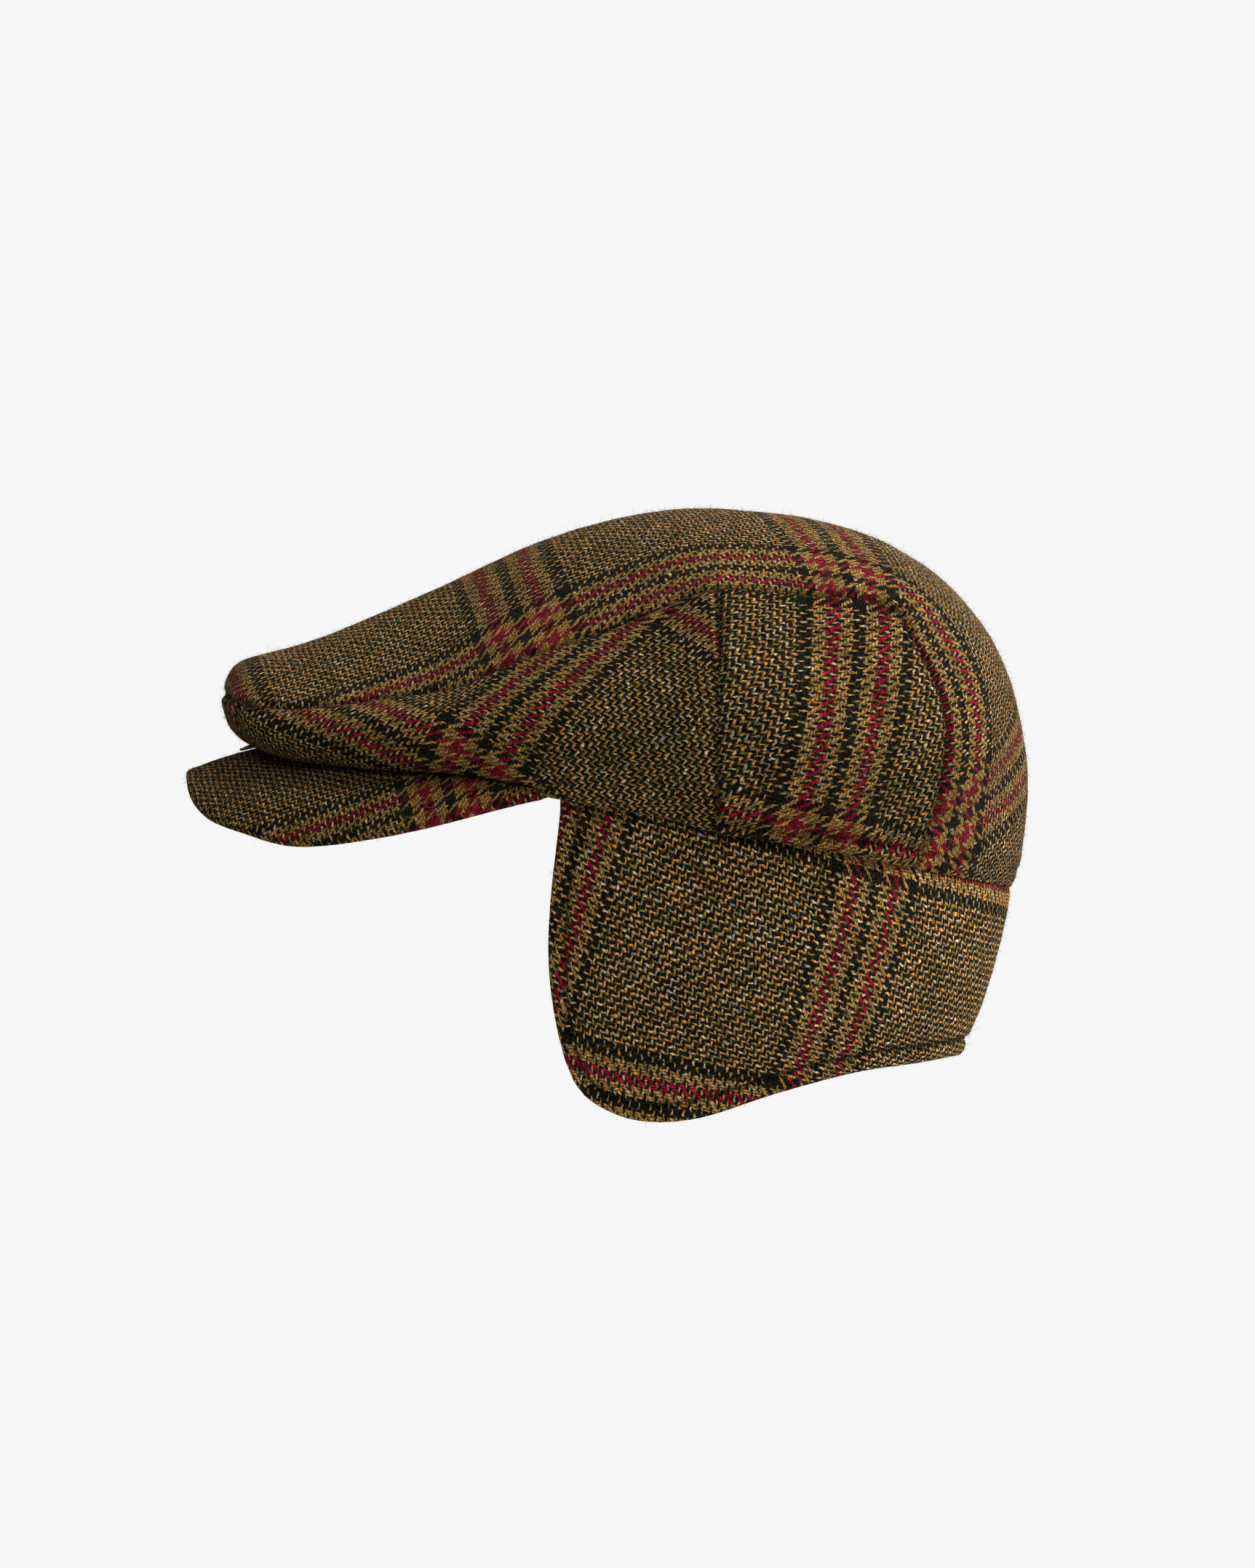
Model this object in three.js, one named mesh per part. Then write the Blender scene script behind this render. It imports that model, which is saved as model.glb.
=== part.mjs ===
// Earflap flat cap. Millimetres, +Z up, peak toward -Y, wearer's left toward +X.
// The origin is the middle of the head opening. The cap is the same on both sides of X = 0.
import * as THREE from 'three';

// ---- driving dimensions ----
const CLOTH = 2.0;             // wall of the crown
const FLAP_WALL = 3.6;         // two layers of tweed with padding between them
const PEAK_WALL = 3.6;         // board covered with tweed
const GAP = 0.36;              // play between neighbouring pieces
const HEAD = { halfWidth: 82.5, halfLength: 103 };   // outside of the flap at the rim
const RIM_FALL = 0.187;        // drop of the rim per millimetre toward the back
const RIM_RISE = 1.5;          // height of the rim beside the origin
const REST = 1.0;              // room between the crown's turned edge and the peak
const TUCK = 6;                // how far the flap runs up inside the crown
const STUD = { radius: 4.6, thickness: 1.4, reach: 0.64, room: 2 };  // joins crown and peak

// Middle line of the crown from above the nose to the rim at the back.
const SPINE = [
  { at: 0.12, y: -136, z: 57.3 },
  { at: 0.181, y: -122, z: 61.3 },
  { at: 0.25, y: -106, z: 67.5 },
  { at: 0.319, y: -90, z: 74.2 },
  { at: 0.397, y: -73, z: 81.6 },
  { at: 0.47, y: -57, z: 89.3 },
  { at: 0.56, y: -38, z: 96.8 },
  { at: 0.66, y: -16, z: 102.0 },
  { at: 0.749, y: 4, z: 103.8 },
  { at: 0.84, y: 23, z: 102.7 },
  { at: 0.918, y: 38, z: 100.8 },
  { at: 1.0, y: 55, z: 96.1 },
  { at: 1.12, y: 67, z: 90.8 },
  { at: 1.25, y: 78.5, z: 83.6 },
  { at: 1.38, y: 89, z: 73.4 },
  { at: 1.5, y: 97, z: 62.4 },
  { at: 1.62, y: 103.6, z: 48.4 },
  { at: 1.75, y: 108, z: 30 },
  { at: 1.88, y: 108.9, z: 9 },
  { at: 2.0, y: 105.4, z: -18 },
];
const NOSE_PULL = 1.6;         // fullness of the top panel where it turns down at the nose
const CORNER_EASE = 0.18;      // how far the turn at the back corners spreads over the panel
// Seam between the top panel and the side panels, centre front to back corner.
const SEAM = [
  { at: 0, x: 0, y: -150.3, z: 44.4 },
  { at: 0.04, x: 18, y: -148.5, z: 43.2 },
  { at: 0.08, x: 32.5, y: -143.8, z: 41.4 },
  { at: 0.12, x: 41.5, y: -136, z: 40.2 },
  { at: 0.181, x: 47.5, y: -122, z: 40.2 },
  { at: 0.25, x: 51.5, y: -106, z: 42 },
  { at: 0.319, x: 55, y: -89.5, z: 44.2 },
  { at: 0.397, x: 59.5, y: -72, z: 47.6 },
  { at: 0.455, x: 62.5, y: -59, z: 53.6 },
  { at: 0.54, x: 66, y: -39.5, z: 60.3 },
  { at: 0.62, x: 68, y: -21, z: 66.6 },
  { at: 0.69, x: 69, y: -5, z: 73.4 },
  { at: 0.749, x: 69.3, y: 9, z: 76.4 },
  { at: 0.84, x: 69, y: 31, z: 76 },
  { at: 0.918, x: 68, y: 49, z: 75 },
  { at: 0.966, x: 66.5, y: 59, z: 73.2 },
  { at: 1, x: 65, y: 67, z: 69.6 },
];
// Fullest line of the side panels.
const BULGE = [
  { at: 0, x: 0, y: -149.7, z: 38.4 },
  { at: 0.04, x: 20.5, y: -147.4, z: 36.6 },
  { at: 0.08, x: 37, y: -141.8, z: 34.4 },
  { at: 0.12, x: 48, y: -133, z: 32.8 },
  { at: 0.181, x: 57, y: -119, z: 32 },
  { at: 0.25, x: 65, y: -104, z: 32.2 },
  { at: 0.319, x: 71.8, y: -87, z: 33 },
  { at: 0.397, x: 78.2, y: -69, z: 34 },
  { at: 0.455, x: 82.4, y: -55.5, z: 35 },
  { at: 0.54, x: 87.6, y: -36.5, z: 36 },
  { at: 0.62, x: 91.4, y: -19, z: 37 },
  { at: 0.69, x: 94, y: -4, z: 37 },
  { at: 0.749, x: 95.2, y: 9, z: 36.5 },
  { at: 0.84, x: 94, y: 31, z: 36 },
  { at: 0.918, x: 87.6, y: 51, z: 36 },
  { at: 0.966, x: 79, y: 66, z: 37 },
  { at: 1, x: 66.5, y: 81.5, z: 38 },
];
// Lowest line of the side panels that shows; over the peak the cloth turns under it.
const ROLL = [
  { at: 0, x: 0, y: -146.4, z: 31.8 },
  { at: 0.04, x: 18.5, y: -143.2, z: 29 },
  { at: 0.08, x: 32.5, y: -136.6, z: 26.4 },
  { at: 0.12, x: 43, y: -128, z: 24.4 },
  { at: 0.181, x: 51.5, y: -115, z: 22.6 },
  { at: 0.25, x: 59, y: -101, z: 21.4 },
  { at: 0.319, x: 66.5, y: -85, z: 20.8 },
  { at: 0.397, x: 73.5, y: -68, z: 19.8 },
  { at: 0.455, x: 78.4, y: -55.5, z: 18.4 },
  { at: 0.5, x: 81.4, y: -46.4, z: 15.6 },
  { at: 0.54, x: 83.4, y: -37.5, z: 11.4 },
  { at: 0.62, x: 86, y: -19.5, z: 7.6 },
  { at: 0.69, x: 87.4, y: -4.5, z: 5.4 },
  { at: 0.749, x: 87.7, y: 8, z: 3.8 },
  { at: 0.84, x: 85.4, y: 28, z: 0.2 },
  { at: 0.918, x: 79, y: 46.5, z: -3.4 },
  { at: 0.966, x: 70.6, y: 61, z: -6 },
  { at: 1, x: 61.6, y: 73.6, z: -8.2 },
];
// Where the side panels end: first on the peak (turn and reach), then round the flap (turn).
const HEM_ON_PEAK = [
  { at: 0, turn: 0, reach: 0.5 },
  { at: 0.08, turn: 15, reach: 0.47 },
  { at: 0.181, turn: 29, reach: 0.36 },
  { at: 0.25, turn: 36, reach: 0.31 },
  { at: 0.319, turn: 42.5, reach: 0.28 },
  { at: 0.397, turn: 50, reach: 0.28 },
  { at: 0.455, turn: 56, reach: 0.34 },
  { at: 0.5, turn: 61.4, reach: 0.5 },
  { at: 0.522, turn: 64, reach: 0.6 },
];
const HEM_ROUND_FLAP = [
  { at: 0.556, turn: 70 },
  { at: 0.62, turn: 80 },
  { at: 0.749, turn: 94 },
  { at: 0.84, turn: 105 },
  { at: 0.918, turn: 116 },
  { at: 1.0, turn: 133.5 },
];
// Outer edge of the peak, centre front to corner (middle of the wall).
const PEAK_EDGE = [
  { at: 0, x: 0, y: -161.5, z: 17.4 },
  { at: 0.14, x: 26, y: -160.0, z: 11.6 },
  { at: 0.27, x: 46, y: -153.6, z: 4.2 },
  { at: 0.4, x: 59, y: -141.5, z: -0.4 },
  { at: 0.53, x: 67.5, y: -127, z: -4.2 },
  { at: 0.65, x: 73, y: -109, z: -3.3 },
  { at: 0.77, x: 76.6, y: -89, z: 0.3 },
  { at: 0.89, x: 78.8, y: -67, z: 5.7 },
  { at: 1, x: 77.8, y: -46.8, z: 10.8 },
];
const PEAK_ROOT = { halfWidth: 80, halfLength: 100.5, lastTurn: 63.6, front: 27, corner: 11 };
const PEAK_ARCH = 4.2;         // rise of the peak above the chord from root to edge
// Lower outline of the flap, round the front corner and on to the centre back.
const FLAP_EDGE = [
  { at: 0, y: -40.4, z: -72.5 },
  { at: 0.04, y: -36.4, z: -81.6 },
  { at: 0.09, y: -30, z: -87.6 },
  { at: 0.15, y: -20.4, z: -91.7 },
  { at: 0.21, y: -9, z: -92.9 },
  { at: 0.28, y: 6, z: -90.8 },
  { at: 0.35, y: 20.6, z: -86 },
  { at: 0.43, y: 36, z: -81.4 },
  { at: 0.52, y: 53, z: -77.3 },
  { at: 0.63, y: 68.5, z: -75.2 },
  { at: 0.78, y: 81, z: -73.4 },
  { at: 1.0, y: 86.8, z: -72.6 },
];
const FLAP = { lean: 0.13, sweep: 0.003, squeeze: 0.085, bow: 1.6, frontBow: 0.8 };

// ---- curves ----
const vec = (x, y, z) => new THREE.Vector3(x, y, z);
const rad = (deg) => (deg * Math.PI) / 180;
const lerp = (a, b, t) => a + (b - a) * t;
const smooth = (a, b, t) => {
  const u = Math.min(1, Math.max(0, (t - a) / (b - a)));
  return u * u * (3 - 2 * u);
};

/** Natural cubic through (knots, values); returns a function of the knot variable. */
function cubic(knots, values) {
  const n = knots.length;
  const bend = new Array(n).fill(0);
  const c = new Array(n).fill(0);
  for (let i = 1; i < n - 1; i++) {
    const h0 = knots[i] - knots[i - 1];
    const h1 = knots[i + 1] - knots[i];
    const rise = (values[i + 1] - values[i]) / h1 - (values[i] - values[i - 1]) / h0;
    const p = 2 * (h0 + h1) - h0 * c[i - 1];
    c[i] = h1 / p;
    bend[i] = (6 * rise - h0 * bend[i - 1]) / p;
  }
  for (let i = n - 2; i > 0; i--) bend[i] -= c[i] * bend[i + 1];
  return (t) => {
    let i = 0;
    while (i < n - 2 && t > knots[i + 1]) i++;
    const h = knots[i + 1] - knots[i];
    const a = (knots[i + 1] - t) / h;
    const b = (t - knots[i]) / h;
    return a * values[i] + b * values[i + 1]
      + ((a ** 3 - a) * bend[i] + (b ** 3 - b) * bend[i + 1]) * (h * h) / 6;
  };
}

/** Curve through table rows; `mirrored` makes it run level across X = 0 at its first row. */
function through(rows, columns, mirrored = false) {
  const back = mirrored ? rows.slice(1).reverse().map((r) => ({ ...r, at: -r.at, flip: true })) : [];
  const all = [...back, ...rows];
  const knots = all.map((r) => r.at);
  const parts = columns.map((col) => {
    const odd = col === 'x' || col === 'turn';
    return cubic(knots, all.map((r) => (r.flip && odd ? -r[col] : r[col])));
  });
  return (t) => parts.map((f) => f(t));
}

/** Point between p and q that leaves p along tp and reaches q along tq. */
function between(p, tp, q, tq, s) {
  const s2 = s * s;
  const s3 = s2 * s;
  return vec(0, 0, 0)
    .addScaledVector(p, 2 * s3 - 3 * s2 + 1).addScaledVector(tp, s3 - 2 * s2 + s)
    .addScaledVector(q, 3 * s2 - 2 * s3).addScaledVector(tq, s3 - s2);
}

const rimZ = (y) => RIM_RISE - RIM_FALL * y;
const oval = (turn, a, b) => [a * Math.sin(rad(turn)), -b * Math.cos(rad(turn))];

// ---- surfaces ----
const peakEdge = through(PEAK_EDGE, ['x', 'y', 'z'], true);

/** Middle of the peak's wall: s from centre front to corner, w from root to outer edge. */
function peakPoint(s, w) {
  const turn = PEAK_ROOT.lastTurn * s;
  const [rx, ry] = oval(turn, PEAK_ROOT.halfWidth, PEAK_ROOT.halfLength);
  const rz = lerp(PEAK_ROOT.corner, PEAK_ROOT.front, Math.max(0, Math.cos(rad(90 * s))) ** 0.7);
  const edge = vec(...peakEdge(s));
  const arch = PEAK_ARCH * 4 * w * (1 - w) * lerp(1, 0.35, s * s);
  const p = vec(rx, ry, rz).lerp(edge, w);
  return p.add(vec(0.5 * Math.sin(rad(turn)), 0, 1).normalize().multiplyScalar(arch));
}

function peakNormal(s, w) {
  const h = 0.01;
  const along = peakPoint(s + h, w).sub(peakPoint(s - h, w));
  const out = peakPoint(s, w + h).sub(peakPoint(s, w - h));
  return out.cross(along).normalize();
}

/** Outside of the crown's cloth where it laps over the flap. */
const rimOval = (turn) => oval(turn, HEAD.halfWidth + CLOTH + GAP, HEAD.halfLength + CLOTH + GAP);

const hemOnPeak = through(HEM_ON_PEAK, ['turn', 'reach'], true);
const hemTurn = through([...HEM_ON_PEAK, ...HEM_ROUND_FLAP], ['turn'], true);

/** End line of the side panels (outside of the cloth). */
function hemPoint(at) {
  const first = HEM_ON_PEAK[HEM_ON_PEAK.length - 1].at;
  const second = HEM_ROUND_FLAP[0].at;
  const mix = smooth(first, second, at);
  const [turn, reach] = hemOnPeak(Math.min(at, first));
  const s = turn / PEAK_ROOT.lastTurn;
  const room = REST + STUD.room * (1 - smooth(0.02, 0.1, at));
  const onPeak = peakPoint(s, reach).addScaledVector(peakNormal(s, reach), PEAK_WALL / 2 + room);
  const [x, y] = rimOval(hemTurn(at)[0]);
  return onPeak.lerp(vec(x, y, rimZ(y)), mix);
}

const spine = through(SPINE, ['y', 'z']);
const seam = through(SEAM, ['x', 'y', 'z'], true);
const bulge = through(BULGE, ['x', 'y', 'z'], true);
const roll = through(ROLL, ['x', 'y', 'z'], true);
const spinePoint = (at) => vec(0, ...spine(Math.max(at, SPINE[0].at)));

/** Side of the crown from seam (v = 0) over bulge (1) and roll (2) to hem (3). */
function sidePoint(at, v) {
  const p = [seam(at), bulge(at), roll(at)].map((q) => vec(...q));
  p.push(hemPoint(at));
  const step = [0, 1, 2].map((i) => p[i + 1].clone().sub(p[i]));
  const len = step.map((d) => d.length());
  const dir = step.map((d, i) => d.clone().divideScalar(len[i]));
  const top = p[0].clone().sub(spinePoint(at));
  const share = lerp(0.42, 0.1, smooth(0.86, 1, at));
  const tangent = [
    top.normalize().multiplyScalar(share).addScaledVector(dir[0], 1 - share).normalize(),
    dir[0].clone().multiplyScalar(len[1]).addScaledVector(dir[1], len[0]).normalize(),
    dir[1].clone().multiplyScalar(len[2]).addScaledVector(dir[2], len[1]).normalize(),
  ];
  tangent.push(dir[2].clone().multiplyScalar(2).sub(tangent[2]).normalize());
  const i = Math.min(2, Math.floor(v));
  const t0 = tangent[i].clone().multiplyScalar(len[i]);
  const t1 = tangent[i + 1].clone().multiplyScalar(len[i]);
  return between(p[i], t0, p[i + 1], t1, v - i);
}

/** Edge of the top panel: the seam, then down the last line of the side panel. */
const topEdge = (at) => (at <= 1 ? sidePoint(at, 0) : sidePoint(1, 3 * (at - 1)));

/** Outward normal of the side panel beside the top panel's edge. */
function edgeNormal(at) {
  const u = Math.min(at, 1);
  const v = Math.max(0, 3 * (at - 1));
  const low = Math.min(v + 0.04, 3);
  const along = u > 0 ? sidePoint(u, v).sub(sidePoint(Math.max(u - 0.004, 0), v)) : vec(1, 0, 0);
  const down = sidePoint(u, low).sub(sidePoint(u, low - 0.04));
  return down.cross(along).normalize();
}

const flat = (d, n) => {
  const length = d.length();
  return d.clone().addScaledVector(n, -d.dot(n)).normalize().multiplyScalar(length);
};

/** Top panel before easing: at along the cap (0 nose, 2 rim at the back), w to the edge. */
function topPatch(at, w) {
  const c = spinePoint(at);
  const e = topEdge(at);
  const q = Math.max(at, SPINE[0].at);
  const slope = spinePoint(Math.min(q + 0.01, 2)).sub(spinePoint(Math.min(q + 0.01, 2) - 0.01));
  const up = vec(1, 0, 0).cross(slope).normalize();
  const chord = e.clone().sub(c);
  const pull = lerp(NOSE_PULL, 1.12, smooth(0, SPINE[0].at, at));
  const start = flat(chord, up).multiplyScalar(pull);
  const end = flat(chord, edgeNormal(at)).multiplyScalar(pull);
  const p = between(c, start, e, end, w);
  // toward the rim the panel settles on the oval of the head
  const settle = smooth(1.55, 2, at);
  if (settle === 0) return p;
  const [x, y] = rimOval(lerp(180, HEM_ROUND_FLAP[HEM_ROUND_FLAP.length - 1].turn, w));
  const low = between(spinePoint(2), start, topEdge(2), end, w);
  return p.addScaledVector(vec(x, y, rimZ(y)).sub(low), settle);
}

/** Top panel with the turn at its back corners eased away from the seam. */
function topPoint(at, w) {
  const reach = CORNER_EASE * 4 * w * (1 - w) * (1 - smooth(0.15, 0.35, Math.abs(at - 1)));
  if (reach < 1e-4) return topPatch(at, w);
  return [-2, -1, 0, 1, 2].reduce((sum, k) => (
    sum.addScaledVector(topPatch(at + (k * reach) / 2, w), (3 - Math.abs(k)) / 9)), vec(0, 0, 0));
}

/** Outside of the flap: u from front edge to centre back, v from tucked top to lower edge. */
const flapEdge = through(FLAP_EDGE, ['y', 'z']);
function flapPoint(u, v) {
  const [endY, endZ] = flapEdge(u);
  const turnTop = lerp(66.2, 180, u ** 0.94);
  const [, topY] = oval(turnTop, 1, HEAD.halfLength);
  const topZ = rimZ(topY) + TUCK;
  const z = lerp(topZ, endZ, v);
  const below = Math.max(0, rimZ(topY) - z);
  const depth = Math.max(1, rimZ(topY) - endZ);
  const a = HEAD.halfWidth - FLAP.squeeze * below * below / 60
    + FLAP.bow * Math.sin(Math.PI * Math.min(1, below / depth));
  const b = HEAD.halfLength - FLAP.lean * below - FLAP.sweep * below * below;
  const bowed = FLAP.frontBow * Math.sin(Math.PI * Math.min(1, below / 82)) * (1 - u) ** 12;
  const endB = HEAD.halfLength - FLAP.lean * depth - FLAP.sweep * depth * depth;
  const endTurn = Math.acos(Math.max(-1, Math.min(1, -endY / endB)));
  const s = below / depth;
  const turn = lerp(rad(turnTop), u > 0.9995 ? Math.PI : endTurn, s * s * (3 - 2 * s) * 0.5 + s * 0.5);
  return vec(a * Math.sin(turn), -b * Math.cos(turn) - bowed, z);
}

// ---- solids ----
/** Triangles of a grid of points, corners that coincide welded into one. */
function weld(patches) {
  const index = new Map();
  const points = [];
  const faces = [];
  const id = (p) => {
    const key = [p.x, p.y, p.z].map((c) => Math.round(c * 500)).join();
    if (!index.has(key)) {
      index.set(key, points.length);
      points.push(p.clone());
    }
    return index.get(key);
  };
  for (const { grid, turned } of patches) {
    for (let i = 0; i + 1 < grid.length; i++) {
      for (let j = 0; j + 1 < grid[0].length; j++) {
        const q = [grid[i][j], grid[i + 1][j], grid[i + 1][j + 1], grid[i][j + 1]].map(id);
        if (turned) q.reverse();
        for (const f of [[q[0], q[1], q[2]], [q[0], q[2], q[3]]]) {
          if (new Set(f).size === 3) faces.push(f);
        }
      }
    }
  }
  return { points, faces };
}

const keyOf = (p) => [p.x, p.y, p.z].map((c) => Math.round(c * 100)).join();

/** Adds up the face normals at each place, for every surface given. */
function sharedNormals(surfaces) {
  const sum = new Map();
  for (const { points, faces } of surfaces) {
    for (const [a, b, c] of faces) {
      const n = points[b].clone().sub(points[a]).cross(points[c].clone().sub(points[a]));
      for (const i of [a, b, c]) {
        const key = keyOf(points[i]);
        sum.set(key, (sum.get(key) ?? vec(0, 0, 0)).add(n));
      }
    }
  }
  for (const n of sum.values()) n.normalize();
  return sum;
}

/** Closed wall: the surface moved by `outer` and `inner` along its normals, edges joined. */
function wall(surface, normals, outer, inner, trim) {
  const { points, faces } = surface;
  const edges = new Map();
  for (const f of faces) {
    for (let k = 0; k < 3; k++) {
      const [a, b] = [f[k], f[(k + 1) % 3]];
      if (edges.has(`${b},${a}`)) edges.delete(`${b},${a}`);
      else edges.set(`${a},${b}`, [a, b]);
    }
  }
  const inward = new Map();
  for (const [a, b] of edges.values()) {
    const along = points[b].clone().sub(points[a]).normalize();
    for (const i of [a, b]) {
      const push = normals.get(keyOf(points[i])).clone().cross(along).normalize();
      inward.set(i, (inward.get(i) ?? []).concat(push));
    }
  }
  const base = points.map((p, i) => {
    const pushes = inward.get(i);
    if (!pushes) return p.clone();
    const sum = pushes.reduce((s, q) => s.add(q), vec(0, 0, 0)).normalize();
    const reach = trim / Math.max(0.5, sum.dot(pushes[0]));
    return p.clone().addScaledVector(sum, reach);
  });
  const shell = [outer, inner].map((d) => base.map((p, i) => (
    p.clone().addScaledVector(normals.get(keyOf(points[i])), d))));
  const n = points.length;
  const out = [...faces, ...faces.map(([a, b, c]) => [a + n, c + n, b + n])];
  for (const [a, b] of edges.values()) out.push([b, a, a + n], [b, a + n, b + n]);
  return { points: [...shell[0], ...shell[1]], faces: out };
}

function geometry({ points, faces }, sign = 1) {
  const flatList = points.flatMap((p) => [sign * p.x, p.y, p.z]);
  const geo = new THREE.BufferGeometry();
  geo.setAttribute('position', new THREE.Float32BufferAttribute(flatList, 3));
  geo.setIndex(faces.flatMap((f) => (sign < 0 ? [f[0], f[2], f[1]] : f)));
  geo.computeVertexNormals();
  return geo;
}

function grid(us, vs, point) {
  return us.map((u) => vs.map((v) => point(u, v)));
}

const mirrored = (g) => g.map((row) => row.map((p) => vec(-p.x, p.y, p.z)));
const steps = (from, to, n) => Array.from({ length: n + 1 }, (_, i) => lerp(from, to, i / n));

// ---- pieces ----
const SIDE_SEAM = 0.749;
const frontStations = [...steps(0, 0.12, 5), ...steps(0.12, SIDE_SEAM, 13).slice(1)];
const backStations = steps(SIDE_SEAM, 1, 8);
const sideLevels = [...steps(0, 1, 5), ...steps(1, 2, 4).slice(1), ...steps(2, 3, 4).slice(1)];
const topStations = [...frontStations, ...backStations.slice(1),
  ...sideLevels.slice(1).map((v) => 1 + v / 3)];
const across = steps(0, 1, 9);

function crownSurfaces() {
  const topHalf = grid(topStations, across, topPoint);
  const front = grid(frontStations, sideLevels, sidePoint);
  const back = grid(backStations, sideLevels, sidePoint);
  return {
    top: weld([{ grid: topHalf, turned: true }, { grid: mirrored(topHalf) }]),
    front: weld([{ grid: front, turned: true }]),
    back: weld([{ grid: back, turned: true }]),
    frontOther: weld([{ grid: mirrored(front) }]),
  };
}

function tweed(color, roughness = 0.95) {
  return new THREE.MeshStandardMaterial({ color, roughness, metalness: 0 });
}

const group = new THREE.Group();
group.name = 'earflap_flat_cap';

function add(name, geo, material) {
  const mesh = new THREE.Mesh(geo, material);
  mesh.name = name;
  group.add(mesh);
}

function addCrown() {
  const s = crownSurfaces();
  const normals = sharedNormals([s.top, s.front, s.back, s.frontOther]);
  const panel = (surface) => wall(surface, normals, 0, -CLOTH, GAP / 2);
  add('crown_top', geometry(panel(s.top)), tweed(0x5b4a2f));
  const front = panel(s.front);
  const back = panel(s.back);
  add('crown_side_front_left', geometry(front), tweed(0x564429));
  add('crown_side_front_right', geometry(front, -1), tweed(0x564429));
  add('crown_side_back_left', geometry(back), tweed(0x5a472d));
  add('crown_side_back_right', geometry(back, -1), tweed(0x5a472d));
}

function addPeak() {
  const half = grid(steps(0, 1, 18), steps(0, 1, 6), peakPoint);
  const surface = weld([{ grid: half, turned: true }, { grid: mirrored(half) }]);
  const normals = sharedNormals([surface]);
  add('peak', geometry(wall(surface, normals, PEAK_WALL / 2, -PEAK_WALL / 2, 0)), tweed(0x4a3d27));
}

function addStud() {
  const up = peakNormal(0, STUD.reach);
  const disc = new THREE.CylinderGeometry(STUD.radius, STUD.radius, STUD.thickness, 24);
  disc.applyQuaternion(new THREE.Quaternion().setFromUnitVectors(vec(0, 1, 0), up));
  const lift = PEAK_WALL / 2 + GAP + STUD.thickness / 2;
  disc.translate(...peakPoint(0, STUD.reach).addScaledVector(up, lift).toArray());
  const brass = new THREE.MeshStandardMaterial({ color: 0x6f5c36, roughness: 0.45, metalness: 0.8 });
  add('press_stud', disc, brass);
}

function addFlap() {
  const us = [...steps(0, 0.2, 7), ...steps(0.2, 1, 15).slice(1)];
  const vs = [0, 0.07, ...steps(0.15, 1, 10)];
  const half = grid(us, vs, flapPoint);
  const surface = weld([{ grid: half, turned: true }, { grid: mirrored(half) }]);
  const normals = sharedNormals([surface]);
  add('ear_flap', geometry(wall(surface, normals, 0, -FLAP_WALL, 0)), tweed(0x5c4a2e));
}

addCrown();
addPeak();
addStud();
addFlap();

export default group;
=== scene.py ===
"""Earflap flat cap in checked tweed: sewn panels, covered peak, padded flap, nap and stud.

Lengths are worked out in millimetres in the frame of the solids and become metres where a
mesh is made. The peak points toward -Y, the wearer's left is +X and +Z is up.
"""
import logging
import math
from dataclasses import dataclass, field
from enum import Enum
from typing import Optional, Sequence

import bpy
import numpy as np
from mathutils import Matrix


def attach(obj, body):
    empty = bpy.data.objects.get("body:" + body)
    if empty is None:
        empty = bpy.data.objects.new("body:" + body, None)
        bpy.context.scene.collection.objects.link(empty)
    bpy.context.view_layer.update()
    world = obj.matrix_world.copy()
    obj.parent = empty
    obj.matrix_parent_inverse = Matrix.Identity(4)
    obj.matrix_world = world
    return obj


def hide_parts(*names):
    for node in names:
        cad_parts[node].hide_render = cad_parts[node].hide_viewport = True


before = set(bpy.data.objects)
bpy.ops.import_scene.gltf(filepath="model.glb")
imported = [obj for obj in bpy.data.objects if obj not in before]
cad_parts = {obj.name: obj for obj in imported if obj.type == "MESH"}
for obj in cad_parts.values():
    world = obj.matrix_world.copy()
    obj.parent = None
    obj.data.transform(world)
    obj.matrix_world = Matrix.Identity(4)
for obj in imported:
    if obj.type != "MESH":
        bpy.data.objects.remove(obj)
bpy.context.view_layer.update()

LOG = logging.getLogger("cap")
MM = 0.001
BODY = "root"
Grid = np.ndarray
Socket = bpy.types.NodeSocket
Colour = tuple[float, float, float]
Stops = tuple[tuple[float, Colour], ...]        # place on a colour ramp, colour


# ---------------------------------------------------------------- small mathematics
def smooth(low: float, high: float, t: Grid) -> Grid:
    """Eases from 0 at low to 1 at high."""
    u = np.clip((np.asarray(t, float) - low) / (high - low), 0, 1)
    return u * u * (3 - 2 * u)


def unit(v: Grid) -> Grid:
    """Vectors of length one along the last axis."""
    return v / np.maximum(np.linalg.norm(v, axis=-1, keepdims=True), 1e-12)


def mirrored(points: Grid) -> Grid:
    """The same points on the other side of X = 0."""
    return points * np.array([-1.0, 1.0, 1.0])


def crowded(low: float, high: float, count: int, ends: float = 0.8) -> Grid:
    """Values from low to high, spaced evenly for ends = 0 and crowded at both ends towards 1."""
    t = np.linspace(0, 1, count)
    return low + (high - low) * (t - ends * np.sin(2 * np.pi * t) / (2 * np.pi))


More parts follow.
